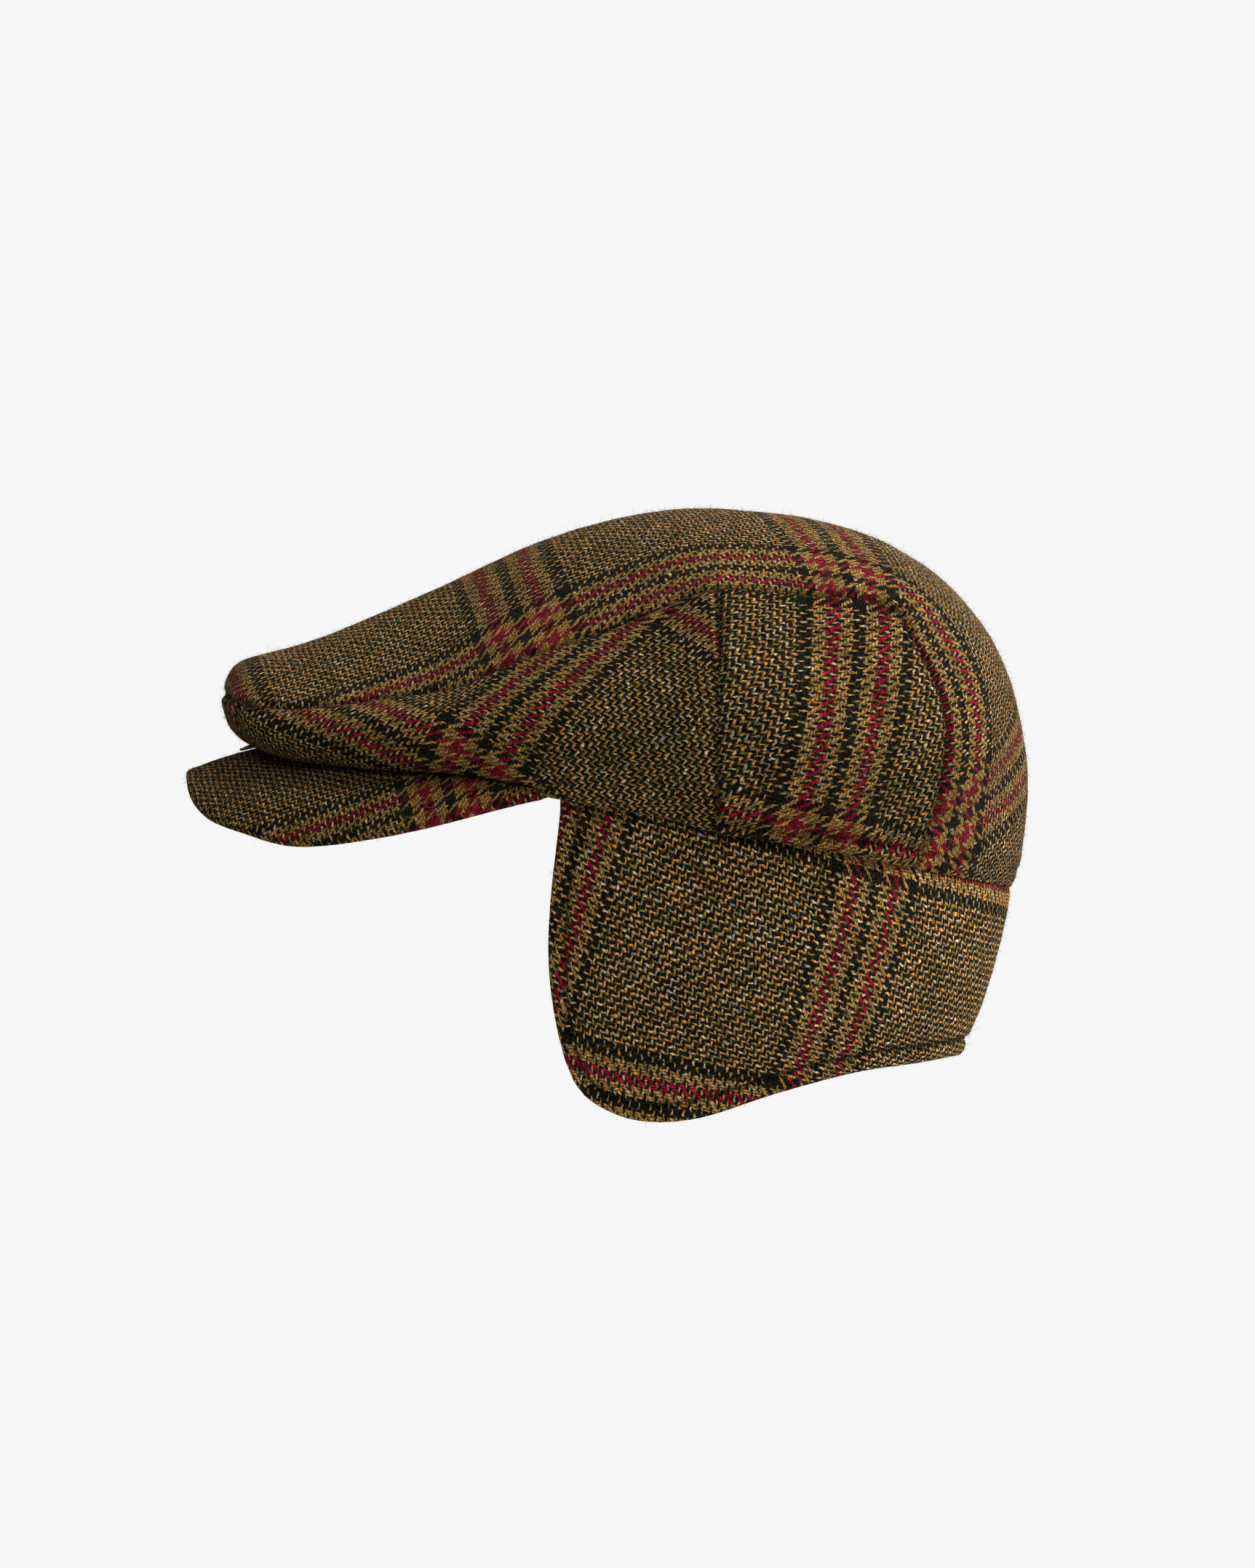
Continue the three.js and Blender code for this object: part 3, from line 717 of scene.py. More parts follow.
@dataclass(frozen=True)
class Lay:
    """How the check lies on a panel.

    Attributes:
        across: Where the middle of a stripe pair crosses, in millimetres.
        along: The same for the other set of yarns.
        across_pitch: Millimetres per yarn.
        along_pitch: The same for the other set of yarns.
        turn: Turn of the cloth on the panel in degrees.
        twill: 1 or -1, which way the twill climbs.
        bow: How far the cross stripes sweep back at the sides.
        bow_span: Between which places along the panel that sweep sets in.
        bow_side: Distance from the middle where the sweep is bow.
        bow_power: How fast it grows toward the sides.
        swell: How far the cross stripes move forward over the highest place.
        swell_at: Where that is along the panel.
        swell_span: Half width of that place.
        skew: Slope of the lowest cross stripes.
        skew_from: Place to the side where the slope starts.
        skew_span: Between which places along the panel the slope sets in.
    """

    across: float
    along: float
    across_pitch: float
    along_pitch: float
    turn: float = 0.0
    twill: int = 1
    bow: float = 0.0
    bow_span: tuple[float, float] = (50.0, 160.0)
    bow_side: float = 66.0
    bow_power: float = 1.3
    swell: float = 0.0
    swell_at: float = 155.0
    swell_span: float = 45.0
    skew: float = 0.0
    skew_from: float = -150.0
    skew_span: tuple[float, float] = (50.0, 95.0)

    def yarns(self, place: Grid) -> Grid:
        """Yarn numbers at flat places.

        Args:
            place: Flat places in millimetres.

        Returns:
            Numbers of the upright and of the cross yarn, counted from a stripe.
        """
        r = math.radians(self.turn)
        x = place[..., 0] * math.cos(r) + place[..., 1] * math.sin(r)
        y = -place[..., 0] * math.sin(r) + place[..., 1] * math.cos(r)
        sweep = (np.abs(x) / self.bow_side) ** self.bow_power
        swept = y - self.bow * smooth(*self.bow_span, y) * sweep
        swept = swept + self.swell * np.exp(-((y - self.swell_at) / self.swell_span) ** 2)
        swept = swept + self.skew * (x - self.skew_from) * smooth(*self.skew_span, y)
        return np.stack([(x - self.across) / self.across_pitch,
                         self.twill * (swept - self.along) / self.along_pitch], -1)


# ---------------------------------------------------------------- meshes
def distance_to(line: Grid, places: Grid) -> Grid:
    """Distance from flat places to a flat line of points.

    Args:
        line: Points of the line, in order.
        places: Flat places.

    Returns:
        The distances.
    """
    flat_places = places.reshape(-1, 2)
    best = np.full(len(flat_places), 1e9)
    for p, q in zip(line[:-1], line[1:]):
        d = q - p
        length = d @ d
        if length < 1e-9:
            continue
        t = np.clip((flat_places - p) @ d / length, 0, 1)
        best = np.minimum(best, np.linalg.norm(flat_places - p - t[:, None] * d, axis=1))
    return best.reshape(places.shape[:-1])


def wrapped(line: Grid, places: Grid, axis: int, sign: float, radius: float) -> Grid:
    """Further run of the cloth where it goes round an edge.

    Args:
        line: Flat line of the edge.
        places: Flat places of the grid.
        axis: Grid axis that leads to the edge.
        sign: 1 if that axis ends at the edge, -1 if it starts there.
        radius: Radius of the rounding.

    Returns:
        What to add to the flat places.
    """
    share = np.clip(1 - distance_to(line, places) / radius, 0, 1)
    way = unit(np.gradient(places, axis=axis)) * sign
    return way * (radius * (np.arcsin(share) - share))[..., None]


@dataclass(frozen=True)
class SoftFold:
    """A soft valley or ridge along a straight line on the cap's side.

    Attributes:
        start: Y and Z of one end, in millimetres.
        end: Y and Z of the other end.
        depth: How far the cloth moves outward, less than 0 for a valley.
        width: Half width of the fold.
        fade: Distances from the middle of the cap between which the fold sets in.
    """

    start: tuple[float, float]
    end: tuple[float, float]
    depth: float
    width: float
    fade: tuple[float, float] = (15.0, 45.0)

    def at(self, points: Grid) -> Grid:
        """Movement of the cloth at points, the same on both sides of the cap.

        Args:
            points: Points in millimetres.

        Returns:
            How far each moves outward.
        """
        p, q = np.array(self.start), np.array(self.end)
        d = q - p
        flat_points = points[..., 1:]
        t = np.clip((flat_points - p) @ d / (d @ d), 0, 1)
        away = np.linalg.norm(flat_points - p - t[..., None] * d, axis=-1)
        aside = smooth(*self.fade, np.abs(points[..., 0]))
        return self.depth * np.exp(-(away / self.width) ** 2) * aside


def rumple(points: Grid, size: float = 1.0) -> Grid:
    """Small uneven swelling of steamed wool, the same wherever two panels meet.

    Args:
        points: Points in millimetres.
        size: 1 for the crown, less for stiffer pieces.

    Returns:
        The swelling at the points, in millimetres.
    """
    broad, tight = 0.26, 0.07
    x, y, z = (points[..., k] for k in range(3))
    slow = (np.sin(0.071 * y + 0.9 * np.sin(0.045 * z + 1.3) + 0.4)
            * np.cos(0.062 * z - 0.031 * x + 1.1) + 0.6 * np.sin(0.11 * x + 0.083 * y + 2.2))
    quick = np.sin(0.43 * y + 0.21 * z) * np.sin(0.37 * z - 0.29 * x + 0.7)
    return size * (broad * slow + tight * quick)


class Side(Enum):
    """Which side of the cap a piece is on."""

    LEFT = 1
    RIGHT = -1


def mesh_piece(name: str, points: Grid, faces: Sequence[Grid], cloth: Grid,
               materials: Sequence[bpy.types.Material], which: Optional[Grid] = None,
               tone: Optional[Grid] = None) -> bpy.types.Object:
    """Makes a smooth mesh with its cloth coordinates, coinciding points joined.

    Args:
        name: Name of the piece.
        points: Points in millimetres.
        faces: Arrays of faces, each of one corner count.
        cloth: Yarn numbers of the points.
        materials: Materials of the piece.
        which: Material index of each face, the first where it is left out.
        tone: A number from 0 to 1 for each point: painted shade on a cloth wall, a hair's place on
            its colour ramp on the nap.

    Returns:
        The new object, linked into the scene.
    """
    _, first, same = np.unique(np.round(points * 1e4).astype(np.int64), axis=0,
                               return_index=True, return_inverse=True)
    same = same.ravel()
    corners: list[list[int]] = []
    index: list[int] = []
    count = 0
    for block in faces:
        for f in same[block].tolist():
            kept = [c for k, c in enumerate(f) if c != f[k - 1]]
            if len(set(kept)) >= 3 and len(set(kept)) == len(kept):
                corners.append(kept)
                index.append(0 if which is None else int(which[count]))
            count += 1
    mesh = bpy.data.meshes.new(name)
    mesh.from_pydata((points[first] * MM).tolist(), [], corners)
    mesh.polygons.foreach_set("use_smooth", [True] * len(corners))
    mesh.polygons.foreach_set("material_index", index)
    layer = mesh.attributes.new("cloth", "FLOAT_VECTOR", "POINT")
    values = np.zeros((len(first), 3), np.float32)
    values[:, :2] = cloth[first]
    layer.data.foreach_set("vector", values.ravel())
    if tone is not None:
        shade = mesh.attributes.new("tone", "FLOAT", "POINT")
        shade.data.foreach_set("value", tone[first].astype(np.float32))
    for material in materials:
        mesh.materials.append(material)
    mesh.update()
    piece = bpy.data.objects.new(name, mesh)
    bpy.context.collection.objects.link(piece)
    return piece


def grid_quads(rows: int, columns: int, start: int = 0, turned: bool = False) -> Grid:
    """Faces of a grid of points on the side of grid_normals, turned over if asked.

    Args:
        rows: Rows of the grid.
        columns: Columns of the grid.
        start: Index of the grid's first point.
        turned: Whether the faces are turned over.

    Returns:
        The faces.
    """
    i, j = np.meshgrid(np.arange(rows - 1), np.arange(columns - 1), indexing="ij")
    a = (i * columns + j).ravel() + start
    quads = np.stack([a, a + 1, a + columns + 1, a + columns], 1)
    return quads[:, ::-1] if turned else quads


def rim_quads(rows: int, columns: int, turned: bool = False, folded: bool = False) -> Grid:
    """Faces that join the edges of two grids of the same size, the second after the first.

    Args:
        rows: Rows of each grid.
        columns: Columns of each grid.
        turned: Whether the grids' faces are turned over.
        folded: Whether the first row is folded onto itself and so has no edge.

    Returns:
        The faces.
    """
    index = np.arange(rows * columns).reshape(rows, columns)
    loop = [index[:, 0], index[-1, 1:], index[-2::-1, -1]]
    if not folded:
        loop.append(index[0, -2::-1])
    line = np.concatenate(loop)
    a, b = line[:-1], line[1:]
    shift = rows * columns
    quads = np.stack([a, b, b + shift, a + shift], 1)
    return quads[:, ::-1] if turned else quads


@dataclass
class Shell:
    """A closed cloth wall between an outer and an inner grid.

    Attributes:
        outer: Outer points.
        inner: Inner points.
        cloth: Yarn numbers on the grid.
        open: 1 where no shade is painted, less where it is painted into seams and folds.
        folded: Whether the first row is folded onto itself.
    """

    outer: Grid
    inner: Grid
    cloth: Grid
    open: Grid
    folded: bool = False

    def build(self, name: str, outside: bpy.types.Material, inside: bpy.types.Material,
              side: Side = Side.LEFT) -> bpy.types.Object:
        """Makes the mesh of the wall.

        Args:
            name: Name of the piece.
            outside: Material of the outer face and the edges.
            inside: Material of the inner face.
            side: RIGHT mirrors the piece.

        Returns:
            The new object.
        """
        rows, columns = self.outer.shape[:2]
        points = np.concatenate([self.outer.reshape(-1, 3), self.inner.reshape(-1, 3)])
        if side is Side.RIGHT:
            points = mirrored(points)
        turned = side is Side.RIGHT
        blocks = [grid_quads(rows, columns, 0, turned),
                  grid_quads(rows, columns, rows * columns, not turned),
                  rim_quads(rows, columns, turned, self.folded)]
        which = np.concatenate([np.full(len(b), k == 1) for k, b in enumerate(blocks)])
        cloth = self.cloth.reshape(-1, 2)
        # the painted shade goes to both faces through the tone attribute
        tone = np.tile(self.open.ravel(), 2)
        return mesh_piece(name, points, blocks, np.concatenate([cloth, cloth]),
                          [outside, inside], which.astype(int), tone)


# ---------------------------------------------------------------- finishes
class Graph:
    """Writes the nodes of one material."""

    def __init__(self, name: str) -> None:
        """Starts an empty material with a Principled surface.

        Args:
            name: Name of the material.
        """
        self.material = bpy.data.materials.new(name)
        self.material.use_nodes = True
        self.nodes = self.material.node_tree.nodes
        self.links = self.material.node_tree.links
        self.surface = self.nodes["Principled BSDF"]

    def put(self, socket: Socket, value: object) -> None:
        """Links a socket, or sets its number or colour.

        Args:
            socket: The input.
            value: A link, a number or a colour.
        """
        if isinstance(value, bpy.types.NodeSocket):
            self.links.new(value, socket)
        elif isinstance(value, tuple) and len(value) == 3 and socket.type == "RGBA":
            socket.default_value = (*value, 1.0)
        else:
            socket.default_value = value

    def add(self, kind: str, values: Sequence[object], **settings: object) -> bpy.types.Node:
        """Adds a node.

        Args:
            kind: Type of the node.
            values: Links or numbers for its first inputs.
            settings: Properties of the node.

        Returns:
            The node.
        """
        node = self.nodes.new(kind)
        for key, value in settings.items():
            setattr(node, key, value)
        for socket, value in zip(node.inputs, values):
            self.put(socket, value)
        return node

    def math(self, kind: str, *values: object) -> Socket:
        """Result of a Math node."""
        return self.add("ShaderNodeMath", values, operation=kind).outputs[0]

    def vector(self, kind: str, *values: object) -> Socket:
        """Result of a Vector Math node."""
        return self.add("ShaderNodeVectorMath", values, operation=kind).outputs["Vector"]

    def scaled(self, vector: Socket, factor: float) -> Socket:
        """A vector times a number.

        Args:
            vector: The vector.
            factor: The number.

        Returns:
            The longer or shorter vector.
        """
        node = self.add("ShaderNodeVectorMath", (vector,), operation="SCALE")
        node.inputs["Scale"].default_value = factor
        return node.outputs["Vector"]

    def times(self, a: object, b: object) -> Socket:
        """a times b."""
        return self.math("MULTIPLY", a, b)

    def line(self, a: object, slope: object, start: object) -> Socket:
        """a times slope, plus start."""
        return self.math("MULTIPLY_ADD", a, slope, start)

    def wrap(self, a: object, period: float) -> Socket:
        """What is left of a over whole periods."""
        return self.math("WRAP", a, period, 0.0)

    def choose(self, share: Socket, a: object, b: object) -> Socket:
        """a where share is 0 and b where it is 1."""
        return self.line(share, self.math("SUBTRACT", b, a), a)

    def attribute(self, name: str, output: str = "Vector") -> Socket:
        """An attribute of the mesh."""
        return self.add("ShaderNodeAttribute", (), attribute_name=name).outputs[output]

    def place(self) -> Socket:
        """Places in the object's own coordinates."""
        return self.add("ShaderNodeTexCoord", ()).outputs["Object"]

    def split(self, vector: Socket) -> tuple[Socket, ...]:
        """The three parts of a vector."""
        return tuple(self.add("ShaderNodeSeparateXYZ", (vector,)).outputs)

    def join(self, x: object, y: object, z: object = 0.0) -> Socket:
        """A vector from three parts."""
        return self.add("ShaderNodeCombineXYZ", (x, y, z)).outputs[0]

    def noise(self, vector: Socket, scale: float, detail: float = 2.0,
              rough: float = 0.5, output: str = "Fac") -> Socket:
        """A noise texture.

        Args:
            vector: Where it is read.
            scale: Waves for each unit.
            detail: How many finer layers it has.
            rough: How strong they are.
            output: Name of the output.

        Returns:
            The noise.
        """
        node = self.add("ShaderNodeTexNoise", (vector,))
        for key, value in (("Scale", scale), ("Detail", detail), ("Roughness", rough)):
            node.inputs[key].default_value = value
        return node.outputs[output]

    def ramp(self, share: Socket, stops: Stops) -> Socket:
        """A colour ramp.

        Args:
            share: Place on the ramp.
            stops: Places and colours.

        Returns:
            The colour.
        """
        node = self.add("ShaderNodeValToRGB", (share,))
        elements = node.color_ramp.elements
        while len(elements) < len(stops):
            elements.new(0.5)
        for element, (position, colour) in zip(elements, stops):
            element.position = position
            element.color = (*colour, 1.0)
        return node.outputs[0]

    def mix(self, share: object, a: object, b: object, blend: str = "MIX") -> Socket:
        """A mix of two colours.

        Args:
            share: 0 for a, 1 for b.
            a: First colour.
            b: Second colour.
            blend: How they blend.

        Returns:
            The colour.
        """
        node = self.add("ShaderNodeMix", (share,), data_type="RGBA", blend_type=blend)
        self.put(node.inputs[6], a)
        self.put(node.inputs[7], b)
        return node.outputs[2]

    def bump(self, height: Socket, depth: float, strength: float) -> Socket:
        """A bumped normal; depth is in metres.

        Args:
            height: Height, 1 at its full depth.
            depth: Depth in metres.
            strength: Share of the effect.

        Returns:
            The normal.
        """
        node = self.add("ShaderNodeBump", ())
        for key, value in (("Strength", strength), ("Distance", depth), ("Height", height)):
            self.put(node.inputs[key], value)
        return node.outputs[0]

    def grey(self, level: Socket) -> Socket:
        """A grey of that level."""
        return self.join(level, level, level)

    def dimmed(self, colour: Socket, level: Socket) -> Socket:
        """A colour times a level."""
        return self.mix(1.0, colour, self.grey(level), "MULTIPLY")

    def paint(self, colour: Socket, normal: Optional[Socket] = None) -> None:
        """Links the colour of the surface, and its normal if there is one.

        Args:
            colour: The colour.
            normal: The normal.
        """
        self.put(self.surface.inputs["Base Color"], colour)
        if normal is not None:
            self.put(self.surface.inputs["Normal"], normal)

    def finish(self, roughness: float, specular: float = 0.2, sheen: float = 0.0,
               sheen_rough: float = 0.5, tint: Colour = (1.0, 1.0, 1.0)) -> None:
        """Sets the even numbers on the surface itself.

        Args:
            roughness: Roughness of the surface.
            specular: Its specular level.
            sheen: Strength of the sheen.
            sheen_rough: Roughness of the sheen.
            tint: Colour of the sheen.
        """
        values = {"Roughness": roughness, "Specular IOR Level": specular,
                  "Sheen Weight": sheen, "Sheen Roughness": sheen_rough,
                  "Sheen Tint": (*tint, 1.0)}
        for key, value in values.items():
            self.surface.inputs[key].default_value = value


@dataclass(frozen=True)
class CheckedTweed:
    """Wool twill of light and dark yarns with a pair of crimson stripes in the check.

    Attributes:
        repeat: Yarns from one stripe pair to the next.
        band: Yarns in each band of the pair.
        light: Shades of the light yarns, each with its place on the ramp.
        dark: Shades of the dark yarns.
        gold: Shades of the yarns beside the crimson.
        crimson: Shades of the crimson yarns.
        wander: Scale, detail, roughness and reach in yarns of each uneven shift of the yarns.
        sheen: Strength of the haze of fine hair.
        gloss: Specular level of the wool.
        gain: Brightness of the whole cloth; the four copies differ in it as painted light and
            shade.
        favour: How much more the yarns that run across the panel show than the upright ones.
        lean: How far the floats of upright and of cross yarns lean.
        depth: Power and factor of the painted shade in the hollows between yarns.
        uneven: Factor and start of the brightness of fibres, of lumps and of larger patches.
        painted_shade_depth: Share of the brightness lost to the painted shade of the tone
            attribute.
        fuzz: How well single hairs cover the yarns.
        thin: How thin those hairs are.
        strands: Shades of those hairs.
        relief_depth: Height of a yarn in metres.
    """

    repeat: int = 108
    band: int = 4
    light: Stops = (
        (0.00, (0.24, 0.22, 0.16)), (0.15, (0.17, 0.15, 0.02)), (0.27, (0.32, 0.24, 0.04)),
        (0.36, (0.66, 0.26, 0.035)), (0.46, (0.60, 0.42, 0.21)), (0.55, (0.62, 0.20, 0.025)),
        (0.64, (0.68, 0.43, 0.13)), (0.74, (0.82, 0.62, 0.41)), (0.86, (0.28, 0.24, 0.03)),
        (1.00, (0.42, 0.37, 0.28)),
    )
    dark: Stops = (
        (0.00, (0.004, 0.004, 0.003)), (0.42, (0.008, 0.008, 0.006)), (0.60, (0.005, 0.016, 0.011)),
        (0.70, (0.010, 0.008, 0.005)), (0.82, (0.050, 0.024, 0.008)), (1.00, (0.012, 0.010, 0.006)),
    )
    gold: Stops = (
        (0.00, (0.26, 0.17, 0.04)), (0.34, (0.48, 0.27, 0.07)), (0.48, (0.60, 0.24, 0.030)),
        (0.60, (0.50, 0.34, 0.16)), (0.78, (0.56, 0.34, 0.10)), (1.00, (0.26, 0.19, 0.05)),
    )
    crimson: Stops = (
        (0.00, (0.16, 0.003, 0.012)), (0.50, (0.33, 0.008, 0.030)), (1.00, (0.48, 0.030, 0.050)),
    )
    wander: tuple = ((0.13, 2.0, 0.5, 1.6), (0.95, 2.0, 0.5, 1.75), (4.2, 2.0, 0.6, 0.55))
    sheen: float = 0.015
    gloss: float = 0.03
    gain: float = 1.62
    favour: float = -0.03
    lean: tuple[float, float] = (-0.20, -0.26)
    depth: tuple[float, float] = (1.7, 1.06)
    uneven: tuple = ((2.6, -0.3), (1.7, 0.15), (0.8, 0.6))
    painted_shade_depth: float = 0.75
    fuzz: float = 0.12
    thin: float = 42.0
    strands: Stops = (
        (0.30, (0.05, 0.042, 0.020)), (0.46, (0.13, 0.10, 0.04)), (0.56, (0.24, 0.14, 0.06)),
        (0.70, (0.30, 0.26, 0.20)),
    )
    relief_depth: float = 0.0005

    def material(self, name: str) -> bpy.types.Material:
        """The tweed as a material.

        Args:
            name: Name of the material.

        Returns:
            The material.
        """
        g = Graph(name)
        cloth = g.attribute("cloth")
        x, y, _ = g.split(self.shifted(g, cloth))
        wave = g.math("COSINE", g.line(g.math("SUBTRACT", x, y), math.pi / 2, math.pi / 4))
        u, v = g.line(wave, self.lean[0], x), g.line(wave, self.lean[1], y)
        i, j = g.math("FLOOR", u), g.math("FLOOR", v)
        up = g.math("LESS_THAN", g.wrap(g.math("SUBTRACT", i, j), 4.0), 1.5)
        side = g.choose(up, g.math("FRACT", v), g.math("FRACT", u))
        warp_run = g.wrap(g.math("ADD", g.math("SUBTRACT", v, i), 1.0), 4.0)
        weft_run = g.wrap(g.math("SUBTRACT", g.math("SUBTRACT", u, j), 2.0), 4.0)
        height = self.relief(g, side, g.choose(up, weft_run, warp_run))
        shade = self.shades(g, g.choose(up, j, i), g.choose(up, u, v), up)
        fibre = g.noise(cloth, 5.5, 3.0, 0.65)
        lump = g.noise(g.vector("ADD", cloth, (7.0, 3.0, 1.0)), 0.85, 1.0)
        patch = g.noise(cloth, 0.06, 2.0)
        # painted shade: the floats' height darkens the hollows between yarns
        lit = g.times(g.math("POWER", height, self.depth[0]), self.depth[1])
        lit = g.times(lit, g.math("MAXIMUM", g.line(fibre, *self.uneven[0]), 0.05))
        lit = g.times(lit, g.line(lump, *self.uneven[1]))
        lit = g.times(lit, g.line(patch, *self.uneven[2]))
        lit = g.times(lit, g.choose(up, 1.0 + self.favour, 1.0 - self.favour))
        # painted shade: the tone attribute darkens seams, grooves and the flap's tuck under the
        # hem, and the strands with it
        painted_light = g.line(g.attribute("tone", "Fac"), self.painted_shade_depth, 1.0 - self.painted_shade_depth)
        lit = g.times(lit, g.times(painted_light, self.gain))
        stray = g.math("MAXIMUM", self.strand(g, cloth, (0.0, 0.0, 5.0), 0.9),
                       self.strand(g, cloth, (4.0, 9.0, 2.0), 1.4))
        hue = g.ramp(g.noise(g.vector("ADD", cloth, (1.0, 8.0, 4.0)), 0.5, 1.0), self.strands)
        colour = g.mix(g.times(stray, self.fuzz), g.dimmed(shade, lit), g.dimmed(hue, painted_light))
        g.paint(colour, g.bump(g.line(fibre, 0.5, height), self.relief_depth, 0.85))
        g.finish(0.95, self.gloss, self.sheen, 0.45, (0.95, 0.85, 0.68))
        return g.material

    def shifted(self, g: Graph, cloth: Socket) -> Socket:
        """Yarn coordinates moved by the uneven spinning and weaving.

        Args:
            g: Graph of the material.
            cloth: Yarn coordinates of the cloth.

        Returns:
            The moved coordinates.
        """
        moved = cloth
        for scale, detail, rough, reach in self.wander:
            drift = g.vector("SUBTRACT", g.noise(cloth, scale, detail, rough, "Color"),
                             (0.5, 0.5, 0.5))
            moved = g.vector("ADD", moved, g.scaled(drift, reach))
        return moved

    def strand(self, g: Graph, cloth: Socket, shift: Colour, scale: float) -> Socket:
        """Thin wandering lines of single hairs, 1 on a hair.

        Args:
            g: Graph of the material.
            cloth: Yarn coordinates of the cloth.
            shift: Where the noise starts.
            scale: Scale of the noise.

        Returns:
            1 on a hair, below 0 away from it.
        """
        wandering = g.noise(g.vector("ADD", cloth, shift), scale, 2.5, 0.6)
        off = g.math("ABSOLUTE", g.math("SUBTRACT", wandering, 0.5))
        return g.math("SUBTRACT", 1.0, g.times(off, self.thin))

    def relief(self, g: Graph, side: Socket, run: Socket) -> Socket:
        """Height of a float: round across the yarn and sinking at both ends.

        Args:
            g: Graph of the material.
            side: Place across the yarn.
            run: Place along the float, in yarns.

        Returns:
            The height, 1 on top.
        """
        off = g.line(side, 2.0, -1.0)
        dome = g.math("SQRT", g.math("MAXIMUM", g.math("SUBTRACT", 1.0, g.times(off, off)), 0.02))
        arch = g.math("SINE", g.times(run, math.pi / 2))
        return g.times(dome, g.line(g.math("MAXIMUM", arch, 0.0), 0.7, 0.3))

    def shades(self, g: Graph, number: Socket, length: Socket, up: Socket) -> Socket:
        """Colour of the yarn of that number at a place along it.

        Args:
            g: Graph of the material.
            number: Number of the yarn.
            length: Place along it.
            up: 1 for a cross yarn, 0 for an upright one.

        Returns:
            The colour.
        """
        place = g.join(g.line(up, 31.7, g.times(number, 7.31)), g.times(length, 0.42),
                       g.times(number, 0.77))
        vary = g.line(g.math("SUBTRACT", g.noise(place, 1.0, 1.0), 0.5), 2.3, 0.5)
        at = g.wrap(g.math("ADD", number, 4.5 * self.band), float(self.repeat))
        striped = g.math("LESS_THAN", at, 9.0 * self.band - 0.5)
        k = g.math("FLOOR", g.math("DIVIDE", g.math("ADD", at, 0.01), float(self.band)))
        gold = g.times(striped, g.math("GREATER_THAN", g.wrap(k, 2.0), 0.5))
        red = g.times(striped, g.math("COMPARE", g.wrap(k, 4.0), 2.0, 0.5))
        even = g.math("LESS_THAN", g.wrap(number, 2.0), 0.5)
        light = g.times(even, g.math("SUBTRACT", 1.0, striped))
        colour = g.mix(light, g.ramp(vary, self.dark), g.ramp(vary, self.light))
        colour = g.mix(gold, colour, g.ramp(vary, self.gold))
        return g.mix(red, colour, g.ramp(vary, self.crimson))


@dataclass(frozen=True)
class PlainLining:
    """Dark twilled lining inside the crown.

    Attributes:
        base: Colour between the ribs.
        rib: Colour on the ribs.
        ribs: Turn of the rib wave over one yarn of the outer cloth.
    """

    base: Colour = (0.075, 0.058, 0.040)
    rib: Colour = (0.150, 0.122, 0.088)
    ribs: float = 2 * math.pi * 1.4

    def material(self, name: str) -> bpy.types.Material:
        """The lining as a material.

        Args:
            name: Name of the material.

        Returns:
            The material.
        """
        g = Graph(name)
        x, y, _ = g.split(g.attribute("cloth"))
        share = g.line(g.math("SINE", g.times(g.math("ADD", x, y), self.ribs)), 0.5, 0.5)
        patch = g.noise(g.attribute("cloth"), 0.08, 3.0)
        g.paint(g.mix(g.times(share, patch), self.base, self.rib), g.bump(share, 0.00012, 0.5))
        g.finish(0.62, 0.35, 0.15, 0.4, (0.8, 0.75, 0.7))
        return g.material


@dataclass(frozen=True)
class LooseHair:
    """Fine hairs that stand off the tweed, each of its own shade.

    Attributes:
        shades: Shades of the hairs.
    """

    shades: Stops = (
        (0.00, (0.030, 0.026, 0.018)), (0.30, (0.10, 0.075, 0.035)), (0.50, (0.20, 0.14, 0.07)),
        (0.70, (0.16, 0.155, 0.12)), (0.86, (0.34, 0.26, 0.17)), (1.00, (0.45, 0.40, 0.32)),
    )

    def material(self, name: str) -> bpy.types.Material:
        """The hair as a material.

        Args:
            name: Name of the material.

        Returns:
            The material.
        """
        g = Graph(name)
        streak = g.noise(g.attribute("cloth"), 3.0, 2.0)
        g.paint(g.dimmed(g.ramp(g.attribute("tone", "Fac"), self.shades),
                         g.line(streak, 0.8, 0.6)))
        g.finish(0.8, 0.25, 0.2, 0.5)
        return g.material


@dataclass(frozen=True)
class SewingThread:
    """Dull olive thread, nearly lost in the wool.

    Attributes:
        colour: Colour on the twist.
        shade: Brightness between the twists.
    """

    colour: Colour = (0.045, 0.038, 0.020)
    shade: float = 0.55

    def material(self, name: str) -> bpy.types.Material:
        """The thread as a material.

        Args:
            name: Name of the material.

        Returns:
            The material.
        """
        g = Graph(name)
        x, y, _ = g.split(g.attribute("cloth"))
        twist = g.math("SINE", g.line(x, 40.0, g.times(y, 25.0)))
        share = g.line(twist, 0.5, 0.5)
        darker = tuple(self.shade * c for c in self.colour)
        g.paint(g.mix(share, darker, self.colour), g.bump(share, 0.00008, 0.6))
        g.finish(0.6, 0.3)
        return g.material


@dataclass(frozen=True)
class AgedBrass:
    """Brass that has gone brown in its hollows.

    Attributes:
        bright: Colour of the clean metal.
        dull: Colour of the brown metal.
    """

    bright: Colour = (0.50, 0.38, 0.20)
    dull: Colour = (0.16, 0.11, 0.055)

    def material(self, name: str) -> bpy.types.Material:
        """The brass as a material.

        Args:
            name: Name of the material.

        Returns:
            The material.
        """
        g = Graph(name)
        place = g.place()
        patch = g.noise(place, 900.0, 4.0, 0.6)
        fine = g.noise(place, 4000.0, 2.0)
        g.paint(g.mix(patch, self.dull, self.bright), g.bump(fine, 0.00003, 0.4))
        g.put(g.surface.inputs["Roughness"], g.line(patch, -0.25, 0.55))
        g.surface.inputs["Metallic"].default_value = 0.9
        return g.material


